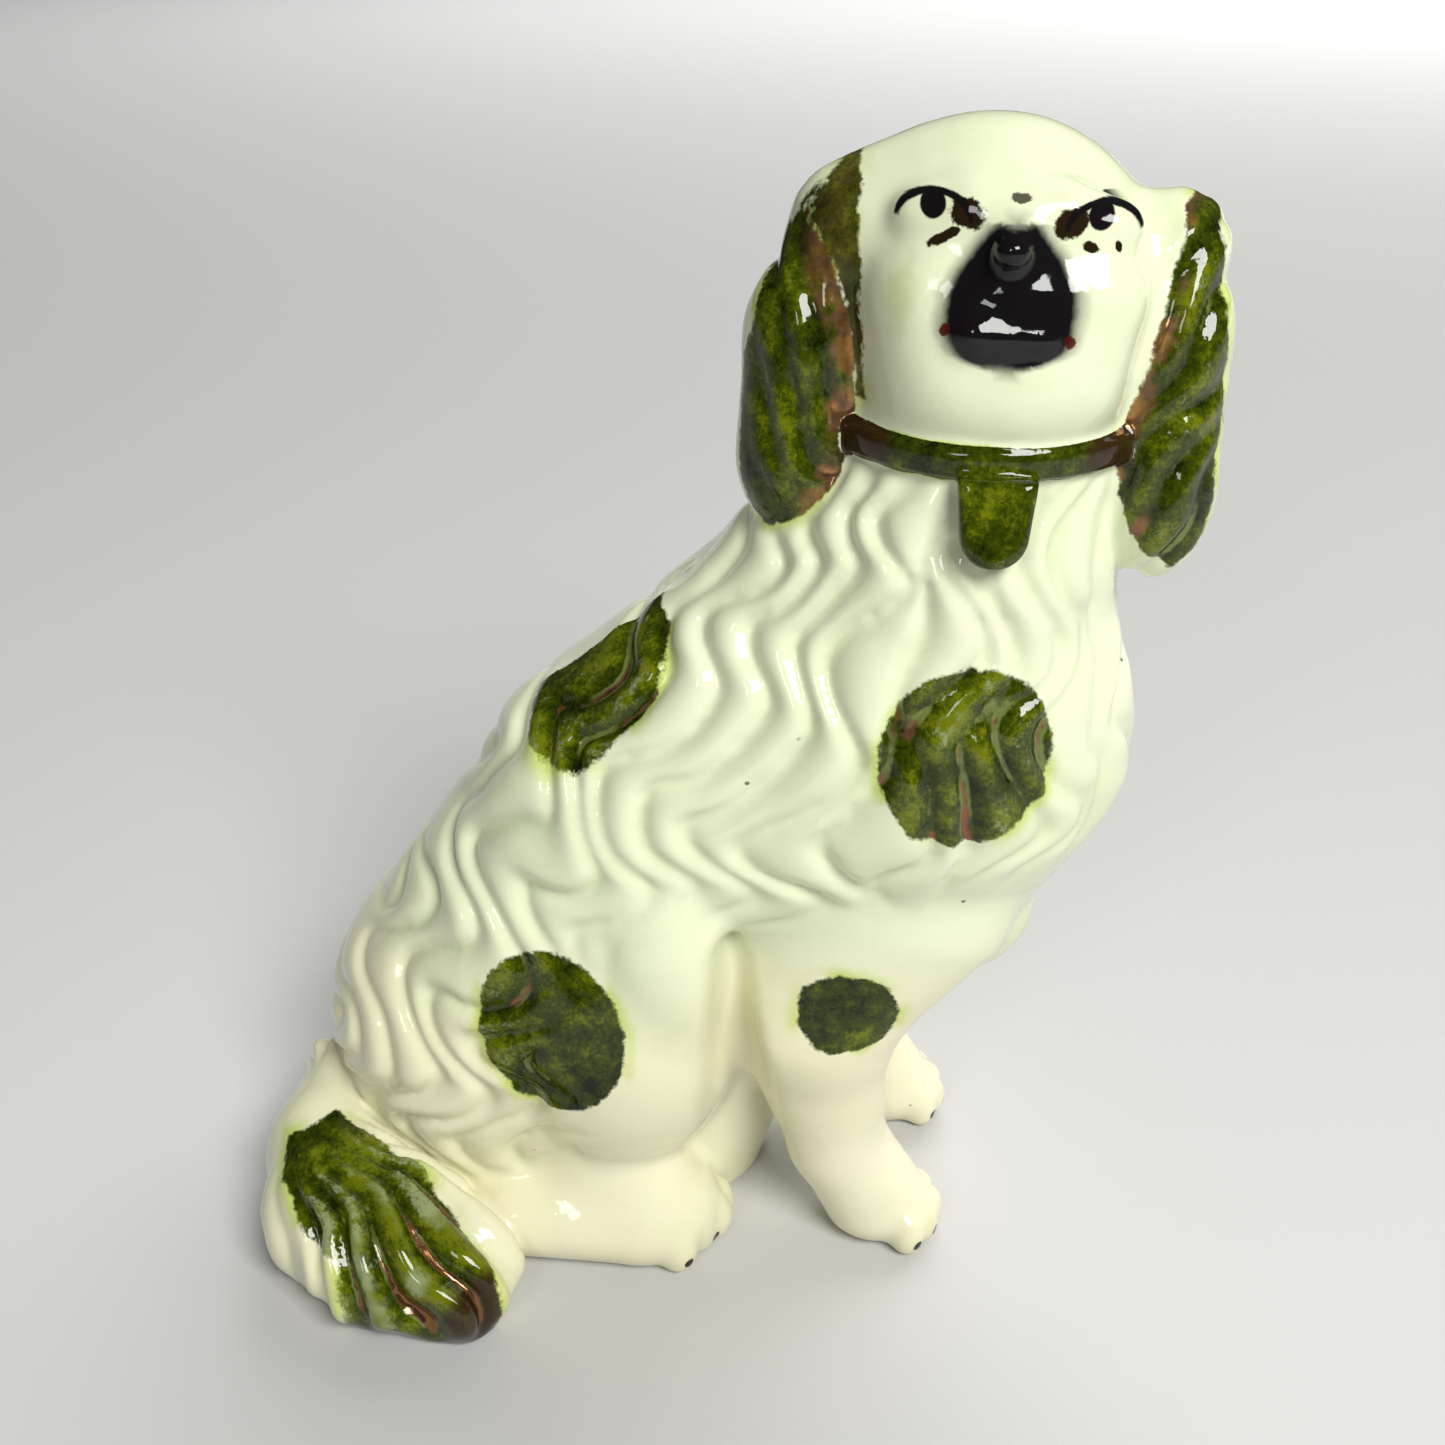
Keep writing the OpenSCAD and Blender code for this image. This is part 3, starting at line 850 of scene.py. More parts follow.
def cut(part, f):
    """Splits a part (points, triangles, fields) along the line where f is zero: (below, above).

    f is one of its fields, by name, or an array.
    """
    p, tri, fields = part
    f = fields[f] if isinstance(f, str) else f
    f = np.where(np.abs(f) < 1e-5, 1e-5, f)
    side = f > 0
    corner = side[tri]
    mixed = (corner.sum(1) % 3) != 0
    whole_low, whole_high = tri[~corner.any(1)], tri[corner.all(1)]
    odd = tri[mixed]
    flags = corner[mixed]
    lone = np.where(flags.sum(1) == 1, flags.argmax(1), (~flags).argmax(1))
    rows = np.arange(len(odd))
    a, b, c = odd[rows, lone], odd[rows, (lone + 1) % 3], odd[rows, (lone + 2) % 3]
    pairs = np.sort(np.concatenate([np.stack([a, b], 1), np.stack([a, c], 1)]), axis=1)
    unique, place = np.unique(pairs, axis=0, return_inverse=True)
    place = place.ravel()
    t = (f[unique[:, 0]] / (f[unique[:, 0]] - f[unique[:, 1]]))[:, None]
    n = len(p)

    def split(v, t):
        return np.concatenate([v, v[unique[:, 0]] * (1 - t) + v[unique[:, 1]] * t])

    p = split(p, t)
    fields = {k: split(v, t[:, 0]) for k, v in fields.items()}
    ab, ac = n + place[: len(odd)], n + place[len(odd) :]
    tip = np.stack([a, ab, ac], 1)
    rest = np.concatenate([np.stack([ab, b, c], 1), np.stack([ab, c, ac], 1)])
    high_tip = flags[rows, lone]
    twice = np.concatenate([high_tip, high_tip])
    high = np.concatenate([whole_high, tip[high_tip], rest[~twice]])
    low = np.concatenate([whole_low, tip[~high_tip], rest[twice]])
    return tidy((p, low, fields)), tidy((p, high, fields))


def tidy(part):
    """The part without the points that none of its triangles uses."""
    p, tri, fields = part
    used = np.unique(tri)
    number = np.zeros(len(p), int)
    number[used] = np.arange(len(used))
    return p[used], number[tri], {k: v[used] for k, v in fields.items()}


def close(part, thick):
    """A closed wall of the part's skin: the skin, the same skin thick further in, and the rim."""
    p, tri, fields = part
    normal = np.stack([fields["nx"], fields["ny"], fields["nz"]], 1)
    normal /= np.maximum(np.linalg.norm(normal, axis=1), 1e-6)[:, None]
    n = len(p)
    edges = np.concatenate([tri[:, [0, 1]], tri[:, [1, 2]], tri[:, [2, 0]]])
    key = edges[:, 0].astype(np.int64) * n + edges[:, 1]
    back = edges[:, 1].astype(np.int64) * n + edges[:, 0]
    rim = edges[~np.isin(key, back)]
    inner = tri[:, ::-1] + n
    a, b = rim.T
    wall = np.concatenate([np.stack([b, a, a + n], 1), np.stack([b, a + n, b + n], 1)])
    points = np.concatenate([p, p - normal * thick])
    kept = {k: np.concatenate([fields[k], fields[k]]) for k in ("relief", "green", "black", "burn")}
    return points, np.concatenate([tri, inner, wall]), kept, np.concatenate([normal, -normal])


def build_skin(clay, coat):
    """Models the dog, raises its coat and cuts the skin into the parts it is assembled from."""
    model_forms()
    m = FORMS["marks"]
    u, rump = m["u"], m["rump"]
    step = clay.step * 1000 * u * 1
    d, lo = raise_clay(step)
    p, quads = skin_of(d, lo, step)
    names = [name for name, soft in JOIN.items() if soft >= 0]
    raw = {name: form(FORMS[name], *p.T) for name in names}
    stack = np.stack([raw[name] for name in names])
    owner = stack.argmin(0)
    fields = coat_fields(p, {name: owner == i for i, name in enumerate(names)}, coat)
    crease = np.sort(stack, axis=0)
    fields["tall"] *= smooth(crease[1] - crease[0], 0, 3.5 * u)
    for _ in range(6):  # let the coat run out softly at the parts' edges
        fields["tall"] = relaxed(fields["tall"][:, None], quads, 0.6)[:, 0]
    skin = show("skin", mesh_of("skin", p, quads, fields))
    amounts = dict(zip(COAT_INPUTS, (coat.relief, coat.swing, coat.ragged, float(coat.seed))))
    raised = through(skin, coat_tree(), **amounts)
    high = read_mesh(raised.vertices, "co", 3) / MM
    relief = read_mesh(raised.attributes["relief"].data, "value", 1)[:, 0]
    high[:, 2] = np.where(p[:, 2] < 0.5, p[:, 2], np.maximum(high[:, 2], 0.4))  # the feet stay flat
    shape = mesh_of("raised", high, quads)
    normal = relaxed(read_mesh(shape.vertex_normals, "vector", 3), quads, 0.5)
    tri = np.concatenate([quads[:, [0, 1, 2]], quads[:, [0, 2, 3]]])
    values = dict(relief=relief.astype(float), nx=normal[:, 0], ny=normal[:, 1], nz=normal[:, 2])
    for i, name in enumerate(names):
        values["to_" + name] = raw[name] - np.delete(stack, i, 0).min(0)
    values.update(paint_fields(p, normal, values))
    slab = np.hypot(p[:, 0] - np.clip(p[:, 0], rump[0], rump[0] + 30 * u), p[:, 1]) - 24 * u
    values["to_slab"] = np.maximum(slab, (p[:, 2] - 1.2) * 4)
    values["to_vent"] = np.hypot(p[:, 0] - rump[0] + 6 * u, p[:, 1]) - clay.vent * 1000
    rest = (high.astype(float), tri, values)
    for name in (*CUT_ORDER, "slab"):
        PARTS[name], rest = cut(rest, "to_" + name)
    PARTS["trunk"], PARTS["head"] = cut(rest, rest[0][:, 2] - m["neck"][2])
    bpy.data.objects.remove(skin)
    for mesh in (raised, shape):
        bpy.data.meshes.remove(mesh)


# ---------- where the brush went, in mm ----------

# the green spots on the near side: x, z, their two radii, and how they lean in degrees
SPOTS = (
    (82.0, 119.7, 14.0, 15.5, 0),  # on the chest
    (17.0, 121.5, 9.6, 17.0, -38),  # on the back
    (10.8, 58.0, 14.4, 16.0, 0),  # on the haunch
    (65.0, 63.6, 9.4, 8.4, 0),  # on the foreleg
)
# the green column on each ear: heights, and the x of its two borders there
EAR_COLUMNS = {
    "right_ear": (
        (149, 153, 160, 170, 179, 189, 198, 204, 210),
        (49, 44, 42.2, 41.4, 42.6, 45.2, 48.4, 52.3, 59),
        (50, 60, 63, 63, 62, 60.8, 60.4, 60, 59.4),
    ),
    "left_ear": (
        (148, 153, 160, 168, 174, 181, 189, 198, 203, 206),
        (112, 106, 103.4, 102, 103, 105.4, 106.6, 107.8, 109, 112),
        (113, 117, 118.2, 118.2, 117.6, 116.8, 115.4, 114.4, 113.4, 112),
    ),
}
# the black is a pear shape, narrow over the bridge of the nose: heights from there, and half widths
PEAR_Z = (-19.6, -19.2, -17.4, -15, -12, -8.8, -6, -3.2, 0.4, 0.6)
PEAR_HALF = (0, 3.6, 7.6, 9.0, 9.3, 9.0, 7.6, 5.6, 2.8, 0)
UNPAINTED = 30.0


def paint_fields(p, normal, to):
    """Distances in mm to the edges of the green and the black, below zero inside, and how scorched it is."""
    m = FORMS["marks"]
    u = m["u"]
    x, y, z = p.T

    def spot(cx, cz, rx, rz, lean):
        cs, sn = math.cos(math.radians(lean)), math.sin(math.radians(lean))
        dx, dz = x - cx * u, z - cz * u
        k = np.hypot((dx * cs + dz * sn) / (rx * u), (dz * cs - dx * sn) / (rz * u))
        return (k - 1) * min(rx, rz) * u

    green = np.where(y < -4 * u, np.minimum.reduce([spot(*s) for s in SPOTS]), UNPAINTED)
    for name, (height, low_x, high_x) in EAR_COLUMNS.items():
        low, high = np.interp(z / u, height, low_x) * u, np.interp(z / u, height, high_x) * u
        middle, half = (height[0] + height[-1]) / 2 * u, (height[-1] - height[0]) / 2 * u
        back = (normal[:, 1] - 0.05) * 9 * u  # the brush stopped where the lobe turns away
        column = np.maximum.reduce([low - x, x - high, back, np.abs(z - middle) - half])
        over = to["to_" + name]
        if name == "right_ear":  # the brush ran on over the temple
            temple = [form(FORMS[name], x, y, z) - 5 * u, m["mid"][2] - 14 * u - z, to["to_head"]]
            over = np.minimum(over, np.maximum.reduce(temple))
        green = np.minimum(green, np.maximum(over, column))
    fan, reach = tail_fan(x, y)
    outer = 61 + 1.4 * np.maximum(34 * u - reach, 0) / u
    inner = 23 + 0.3 * np.maximum(reach - 25 * u, 0) / u
    beside = np.radians(np.maximum(fan - outer, inner - fan)) * reach
    plume = np.maximum.reduce([beside, 8 * u - reach, y + 28 * u, to["to_tail"]])
    green = np.minimum.reduce([green, plume, 4 * to["to_collar"], 4 * to["to_locket"]])

    f = m["face"]
    half = u * np.interp((z - f[2]) / u, PEAR_Z, PEAR_HALF)
    ends = np.maximum(f[2] - 19.2 * u - z, z - f[2] - 0.4 * u)
    black = np.maximum.reduce([np.abs(x - f[0] + 0.3 * u) - half, ends, y + 8 * u])

    # the green is scorched brown at the collar's ends and the plume's tip
    burn = smooth(np.abs(x - m["neck"][0]), 11 * u, 19 * u) * (to["to_collar"] < 0.4)
    burn = np.maximum(burn, smooth(reach, 46 * u, 55 * u) * (to["to_tail"] < 0.4))
    return dict(green=green, black=black, burn=burn)


# ---------- glazes ----------

# tones that lie between the main glazes, with painted shade for the grooves and painted highlights beside
# them
GROOVE_SHADE_GREY, WARM_WHITE, IRON_SPECK = (0.30, 0.34, 0.17), (0.86, 0.84, 0.70), (0.07, 0.06, 0.04)
HALO_GREEN, WORN_HIGHLIGHT_GREEN, SHORE_HIGHLIGHT_GREEN = (0.46, 0.58, 0.03), (0.36, 0.42, 0.25), (0.24, 0.30, 0.09)
GROOVE_POOL_AND_SHADE, SCORCH = (0.008, 0.009, 0.002), (0.030, 0.013, 0.005)
COPPER, PINK_COPPER, GOLD = (0.34, 0.17, 0.06), (0.30, 0.15, 0.13), (0.52, 0.27, 0.07)
INK_WASH, CHEEK_OLIVE, MOUTH_RED = (0.10, 0.09, 0.08), (0.40, 0.44, 0.10), (0.07, 0.004, 0.004)


def material(name):
    """(material, its tree) with the nodes cleared."""
    made = bpy.data.materials.new(name)
    made.use_nodes = True
    made.node_tree.nodes.clear()
    return made, made.node_tree


class Painter:
    """A glaze in the making: its nodes, the place on the figure in its own mm, and the colour so far."""

    def __init__(self, name):
        self.material, self.tree = material(name)
        self.u = FORMS["marks"]["u"]
        self.place = self.tree.nodes.new("ShaderNodeTexCoord").outputs["Object"]
        split = self.tree.nodes.new("ShaderNodeSeparateXYZ")
        self.tree.links.new(self.place, split.inputs[0])
        self.x, self.y, self.z = (Wire(self.tree, s) * (1000.0 / self.u) for s in split.outputs)
        self.relief = self.field("relief")
        self.broad, self.fine = self.noise(0.035, 2), self.noise(0.16, 3, 0.6)
        self.grain = self.noise(0.9, 4, 0.65)
        self.colour = None

    def field(self, key):
        got = self.tree.nodes.new("ShaderNodeAttribute")
        got.attribute_name = key
        return Wire(self.tree, got.outputs["Fac"])

    def noise(self, per_mm, detail=2.0, rough=0.5):
        """Cloudy noise round zero."""
        got = self.tree.nodes.new("ShaderNodeTexNoise")
        got.inputs["Scale"].default_value = per_mm * 1000 / self.u
        got.inputs["Detail"].default_value = detail
        got.inputs["Roughness"].default_value = rough
        self.tree.links.new(self.place, got.inputs["Vector"])
        return Wire(self.tree, got.outputs[0]) - 0.5

    def cells(self, per_mm):
        """The distance to the nearest of some scattered points."""
        got = self.tree.nodes.new("ShaderNodeTexVoronoi")
        got.inputs["Scale"].default_value = per_mm * 1000 / self.u
        self.tree.links.new(self.place, got.inputs["Vector"])
        return Wire(self.tree, got.outputs["Distance"])

    def mix(self, share, a, b):
        got = self.tree.nodes.new("ShaderNodeMix")
        got.data_type = "RGBA"
        join(self.tree, share, got.inputs[0])
        for value, socket in ((a, got.inputs[6]), (b, got.inputs[7])):
            join(self.tree, value if isinstance(value, Wire) else (*value, 1), socket)
        return Wire(self.tree, got.outputs[2])

    def lay(self, share, colour):
        """Lays a share of a colour over the colour so far."""
        self.colour = self.mix(share, self.colour, colour)

    def oval(self, cx, cz, rx, rz, lean=0.0):
        """An oval seen from the front: below 1 inside it."""
        cs, sn = math.cos(math.radians(lean)), math.sin(math.radians(lean))
        a = ((self.x - cx) * cs + (self.z - cz) * sn) / rx
        b = ((self.z - cz) * cs - (self.x - cx) * sn) / rz
        return (a * a + b * b) ** 0.5

    def stroke(self, cx, cz, rx, rz, thick, reach, lean=0.0):
        """A brush line along the upper part of an oval, tapering at reach to each side."""
        ring = (self.oval(cx, cz, rx, rz, lean) - 1.0).op("ABSOLUTE") * min(rx, rz)
        across = self.x - cx
        taper = across.ramp(-reach, 2.2 - reach) * across.ramp(reach, reach - 2.2)
        above = (self.z - cz).ramp(-0.3, 0.3)
        line = ((ring * -1.0) + (taper * thick + self.grain * 0.35)).ramp(-0.12, 0.12)
        return line * above * taper.ramp(0.02, 0.2)


def clear_glaze(brush, colours, legs):
    """The clear glaze over the body: greener where it runs thick, cream low down, with kiln specks, and
    painted shade in its grooves.
    """
    relief, broad, fine = brush.relief, brush.broad, brush.fine
    # greener where the glaze runs thick in the grooves, which also paints shade there
    pool = (relief * -0.9 + broad * 1.1 + fine * 0.35).ramp(-0.12, 0.75)
    cream = (brush.z + broad * 22.0).ramp(86.0, 52.0) * (1.0 if legs else 0.75)
    brush.colour = brush.mix(cream, colours.white[:], colours.cream[:])
    brush.lay(pool * 0.62, colours.pooled[:])
    # painted shade: grey laid into the grooves of the relief
    brush.lay((relief + fine * 0.3).ramp(-0.22, -0.52) * 0.55, GROOVE_SHADE_GREY)
    brush.lay(brush.noise(0.02, 1).ramp(0.02, 0.2) * 0.25, WARM_WHITE)
    specks = (brush.cells(0.11) * -1.0 + (0.052 + brush.grain * 0.03)).ramp(0.0, 0.012)
    brush.lay(specks * brush.noise(0.02, 1).ramp(0.02, 0.16) * 0.85, IRON_SPECK)


def green_paint(brush, colours, green):
    """Copper green, mottled as the brush and the kiln left it, with painted shade in the grooves and painted
    highlights on the crests beside them; returns where it lies.
    """
    relief, noise = brush.relief, brush.noise
    edge = green + brush.fine * 2.6 + brush.grain * 1.5
    brush.lay(edge.ramp(3.0, -0.4) * noise(0.07, 1).ramp(-0.06, 0.08) * 0.75, HALO_GREEN)
    # the relief term paints the green deeper in the grooves and paler on the crests: painted shade and
    # painted highlight over the real mottling
    mottle_and_relief_shade = noise(0.30, 5, 0.75) * 1.5 + noise(0.09, 2) * 1.1 + relief * 0.75 + noise(1.3, 4, 0.8) * 0.9
    paint = brush.mix(mottle_and_relief_shade.ramp(-0.40, 0.08), colours.deep_green[:], colours.green[:])
    paint = brush.mix(mottle_and_relief_shade.ramp(0.0, 0.46) * 0.9, paint, colours.olive[:])
    # paler green on the crests: paint worn thin there, and a painted highlight
    worn_and_crest_highlight = (relief + noise(0.5, 4, 0.7) * 1.1 + noise(1.8, 2, 0.7) * 0.5).ramp(0.30, 0.56)
    paint = brush.mix(worn_and_crest_highlight * noise(0.10, 2).ramp(-0.10, 0.08) * 0.55, paint, WORN_HIGHLIGHT_GREEN)
    # it is painted dark in the grooves, partly paint pooled there and partly painted shade, with a painted
    # highlight on the edges beside them
    dip = relief + noise(0.5, 3) * 0.12
    paint = brush.mix(dip.ramp(-0.12, -0.32) * 0.85, paint, GROOVE_POOL_AND_SHADE)
    shore_highlight = dip.ramp(-0.24, -0.14) * dip.ramp(-0.05, -0.12) * noise(0.12, 2).ramp(-0.10, 0.06)
    paint = brush.mix(shore_highlight * 0.5, paint, SHORE_HIGHLIGHT_GREEN)
    paint = brush.mix((brush.field("burn") + brush.fine * 0.5).ramp(0.25, 0.75) * 0.9, paint, SCORCH)
    on = edge.ramp(0.35, -0.35)
    brush.lay(on, paint)
    return on


def copper_lustre(brush, colours, green, on, lustred):
    """Copper lustre along the grooves of the green, and on an ear down its edge; returns where it lies."""
    relief, noise = brush.relief, brush.noise
    chosen = noise(0.045, 1, 0.5).ramp(-0.18, -0.06)
    groove = (relief * -1.0 + noise(0.35, 3) * 0.24).ramp(0.12, 0.26)
    beside_cheek = (brush.x - FORMS["marks"]["neck"][0] / brush.u).op("ABSOLUTE").ramp(31.0, 25.0)
    rim = green.ramp(-4.6, -2.4) * noise(0.07, 2).ramp(-0.12, -0.02)
    rim = rim * (relief + noise(0.4, 2) * 0.6).ramp(0.24, -0.06) * beside_cheek * lustred
    metal = (groove * chosen).high(rim) * on
    brush.lay(metal, colours.lustre[:])
    brush.lay(metal * 0.6, brush.mix(noise(0.5, 2).ramp(-0.1, 0.15), COPPER, PINK_COPPER))
    brush.lay(metal * rim * noise(0.3, 2).ramp(-0.12, 0.1) * 0.8, GOLD)
    return metal


def black_enamel(brush, colours):
    """The black of the nose and mouth, with a feathered edge."""
    black = brush.field("black")
    brush.lay((black + brush.fine * 2.4).ramp(2.6, 0.2) * 0.55, INK_WASH)
    brush.lay((black + brush.fine * 1.4 + brush.grain * 0.5).ramp(0.9, -0.7), colours.ink[:])


def painted_face(brush, colours):
    """Eyes, lids, brown smudges, the brow mark, the red at the mouth and the smear on the cheek."""
    ahead = brush.y.ramp(-6.0, -10.0)
    fx, _, fz = FORMS["marks"]["face"] / brush.u
    oval, wobble = brush.oval, brush.grain * 1.1
    smear = (oval(fx - 16.5, fz - 11.0, 2.6, 6.5, -12) + brush.fine * 1.6).ramp(1.2, 0.3)
    brush.lay(smear * ahead * 0.4, CHEEK_OLIVE)
    for side, ex, ez, lean in ((-1, fx - 12.1, fz + 1.1, 3), (1, fx + 12.0, fz + 0.1, -4)):
        lid = brush.stroke(ex + 0.3 * side, ez - 0.9, 5.6, 3.7, 0.44, 6.6, lean)
        pupil = (oval(ex - 0.4, ez + 1.2, 1.9, 2.05) + wobble * 0.12).ramp(1.08, 0.92)
        corner = (oval(ex - side * 4.6, ez + 0.3, 2.6, 2.0, side * 24) + wobble * 0.9).ramp(1.15, 0.9)
        dab_r = 2.9 if side < 0 else 1.3
        dabs = (oval(ex - side * 1.6, ez - 3.0, dab_r, 0.75, side * -28) + wobble).ramp(1.15, 0.85)
        if side > 0:  # this eye has a second, smaller dab
            dabs = (dabs + (oval(ex + 2.4, ez - 3.0, 0.5, 0.9, 20) + wobble).ramp(1.1, 0.8)).low(1.0)
        brush.lay(corner * ahead, colours.rust[:])
        brush.lay(dabs * ahead, colours.rust[:])
        brush.lay(lid.high(pupil) * ahead, colours.ink[:])
    brow = (oval(fx + 0.1, fz + 3.6, 1.5, 0.65) + wobble * 1.2).ramp(1.15, 0.8)
    brush.lay(brow * ahead * 0.9, colours.rust[:])
    for side in (-1, 1):
        red = oval(fx - 0.5 + side * 9.1, fz - 14.8 - side * 0.7, 0.75, 0.95, side * 20) + wobble
        brush.lay(red.ramp(1.15, 0.85) * ahead * 0.95, MOUTH_RED)


def painted_claws(brush, colours, claws):
    """A black dot on each toe."""
    for cx, cy, cz, r in claws:
        away = (((brush.x - cx) ** 2.0) + ((brush.y - cy) ** 2.0) + ((brush.z - cz) ** 2.0)) ** 0.5
        brush.lay((away + brush.grain * 0.7).ramp(r + 0.15, r - 0.15), colours.ink[:])


def glaze(name, legs=False, face=False, claws=(), bare=False, lustred=0.0):
    """A glazed surface with all that the brush left on it and the painted shade and highlights in its relief,
    or the wiped clay if it is bare.
    """
    colours = bpy.context.scene.figurine_glaze
    brush = Painter(name)
    tree, noise, grain = brush.tree, brush.noise, brush.grain
    green = brush.field("green")
    clear_glaze(brush, colours, legs)
    on = green_paint(brush, colours, green)
    metal = copper_lustre(brush, colours, green, on, lustred)
    black_enamel(brush, colours)
    if face:
        painted_face(brush, colours)
    painted_claws(brush, colours, claws)

    shader = tree.nodes.new("ShaderNodeBsdfPrincipled")
    tree.links.new(brush.colour.socket, shader.inputs["Base Color"])
    join(tree, metal * 0.95, shader.inputs["Metallic"])
    uneven = (grain * 0.04 + brush.broad * 0.05).op("ABSOLUTE")
    join(tree, uneven + (0.8 if bare else 0.045) + metal * 0.16, shader.inputs["Roughness"])
    shader.inputs["IOR"].default_value = 1.42
    bump = tree.nodes.new("ShaderNodeBump")
    bump.inputs["Strength"].default_value = 0.35
    bump.inputs["Distance"].default_value = 0.0002 * brush.u
    pinholes = (brush.cells(0.16) * -1.0 + 0.05).ramp(0.0, 0.05) * -0.8
    ripple = noise(0.22, 2) * 1.3 + noise(0.05, 1) * 2.0
    join(tree, ripple + pinholes + on * 0.25 + grain * (1.5 if bare else 0.12), bump.inputs["Height"])
    tree.links.new(bump.outputs[0], shader.inputs["Normal"])
    out = tree.nodes.new("ShaderNodeOutputMaterial")
    tree.links.new(shader.outputs[0], out.inputs[0])
    return brush.material


def finish(name, part, node, glazed, thick):
    """Closes a part of the skin, glazes it and puts it in the frame."""
    points, tri, fields, normals = close(part, thick)
    obj = show(name, mesh_of(name, points, tri, fields, normals))
    obj.data.materials.append(glazed)
    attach(obj, "root")
    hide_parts(node)
    return obj


def wall():
    """How thick the skin is, in mm."""
    return bpy.context.scene.figurine_clay.wall * 1000 * FORMS["marks"]["u"]


def make_halves(whole, names, nodes, glazed):
    """Cuts a part along the mould seam and makes its near and far halves."""
    for name, node, half in zip(names, nodes, cut(whole, whole[0][:, 1])):
        finish(name, half, node, glazed, wall())


def make_feet(kind, ending, hub, spread):
    """A near and a far foot with painted claws."""
    for way, side in (("near_", 1), ("far_", -1)):
        name = way + kind
        glazed = glaze(name + "_glaze", legs=True, claws=claws_of(hub, spread, side))
        finish(name + ending, PARTS[name], name, glazed, wall())


# ---------- operators ----------


class FIGURINE_OT_skin(bpy.types.Operator):
    """Model the dog's skin with its curly coat and cut it into parts"""

    bl_idname = "figurine.skin"
    bl_label = "Model the skin"

    def execute(self, context):
        build_skin(context.scene.figurine_clay, context.scene.figurine_coat)
        return {"FINISHED"}


class FIGURINE_OT_trunk(bpy.types.Operator):
    """Make the two pressed halves of the trunk"""

    bl_idname = "figurine.trunk"
    bl_label = "Make the trunk"

    def execute(self, context):
        nodes = ("torso_near_half", "torso_far_half")
        make_halves(PARTS["trunk"], ("trunk_near", "trunk_far"), nodes, glaze("white_glaze"))
        return {"FINISHED"}


class FIGURINE_OT_slab(bpy.types.Operator):
    """Make the slab that closes the underside, with its vent hole"""

    bl_idname = "figurine.slab"
    bl_label = "Make the base slab"

    def execute(self, context):
        _, disc = cut(PARTS["slab"], "to_vent")
        thick = context.scene.figurine_clay.slab * 1000
        finish("closing_slab", disc, "base_slab", glaze("bare_clay", bare=True), thick)
        return {"FINISHED"}


class FIGURINE_OT_head(bpy.types.Operator):
    """Make the two halves of the head, with the painted eyes"""

    bl_idname = "figurine.head"
    bl_label = "Make the head"

    def execute(self, context):
        nodes = ("head_face_half", "head_back_half")
        glazed = glaze("face_glaze", face=True, lustred=0.1)
        make_halves(PARTS["head"], ("head_face", "head_back"), nodes, glazed)
        return {"FINISHED"}


class FIGURINE_OT_muzzle(bpy.types.Operator):
    """Make the black nose and mouth"""

    bl_idname = "figurine.muzzle"
    bl_label = "Make the muzzle"

    def execute(self, context):
        glazed = glaze("black_enamel", face=True)
        finish("nose_and_mouth", PARTS["muzzle"], "muzzle", glazed, wall())
        return {"FINISHED"}


class FIGURINE_OT_ears(bpy.types.Operator):
    """Make the two hanging ears"""

    bl_idname = "figurine.ears"
    bl_label = "Make the ears"

    def execute(self, context):
        glazed = glaze("green_lustre", lustred=0.9)
        for name in ("right_ear", "left_ear"):
            finish(name + "_lobe", PARTS[name], name, glazed, wall())
        return {"FINISHED"}


class FIGURINE_OT_collar(bpy.types.Operator):
    """Make the collar and the locket that hangs from it"""

    bl_idname = "figurine.collar"
    bl_label = "Make the collar and locket"

    def execute(self, context):
        glazed = glaze("collar_green")
        finish("collar_band", PARTS["collar"], "collar", glazed, wall() * 0.7)
        finish("locket", PARTS["locket"], "collar_locket", glazed, wall() * 0.7)
        return {"FINISHED"}


class FIGURINE_OT_forelegs(bpy.types.Operator):
    """Make the two forelegs with their painted claws"""

    bl_idname = "figurine.forelegs"
    bl_label = "Make the forelegs"

    def execute(self, context):
        marks = FORMS["marks"]
        make_feet("foreleg", "_leg", marks["stand"] / marks["u"] + FORE_CLAWS, FORE_TOES)
        return {"FINISHED"}


class FIGURINE_OT_hind_feet(bpy.types.Operator):
    """Make the two hind feet with their painted claws"""

    bl_idname = "figurine.hind_feet"
    bl_label = "Make the hind feet"

    def execute(self, context):
        marks = FORMS["marks"]
        make_feet("hind_foot", "_paw", marks["heel"] / marks["u"] + HIND_CLAWS, HIND_TOES)
        return {"FINISHED"}


class FIGURINE_OT_tail(bpy.types.Operator):
    """Make the plumed tail"""

    bl_idname = "figurine.tail"
    bl_label = "Make the tail"

    def execute(self, context):
        finish("tail_plume", PARTS["tail"], "tail", glaze("tail_glaze"), wall())
        return {"FINISHED"}


# ---------- the stage, in metres round a figure of the full height ----------

EYE, TILT, TURN = (0.0732, -0.2527, 0.2476), 29, 8  # the camera, and how far it looks down and aside
AIM = (0.035, 0, 0.105)  # what the lights face
GLOW = 0.035  # the light from all round
SWEEP_X, SWEEP_Y = (-6, 6), (-3, 12)
LIGHTS = (  # name, place, width and height, share of the key light's power, tone
    ("key_box", (0.58, -0.70, 0.95), (0.58, 0.42), 1.0, (1.0, 0.995, 0.96)),
    ("window", (-0.22, -1.0, 0.70), (0.20, 0.26), 0.10, (1.0, 1.0, 0.98)),
    ("sky_box", (1.6, 3.6, 2.8), (5.6, 3.8), 20.0, (1.0, 1.0, 1.0)),
)


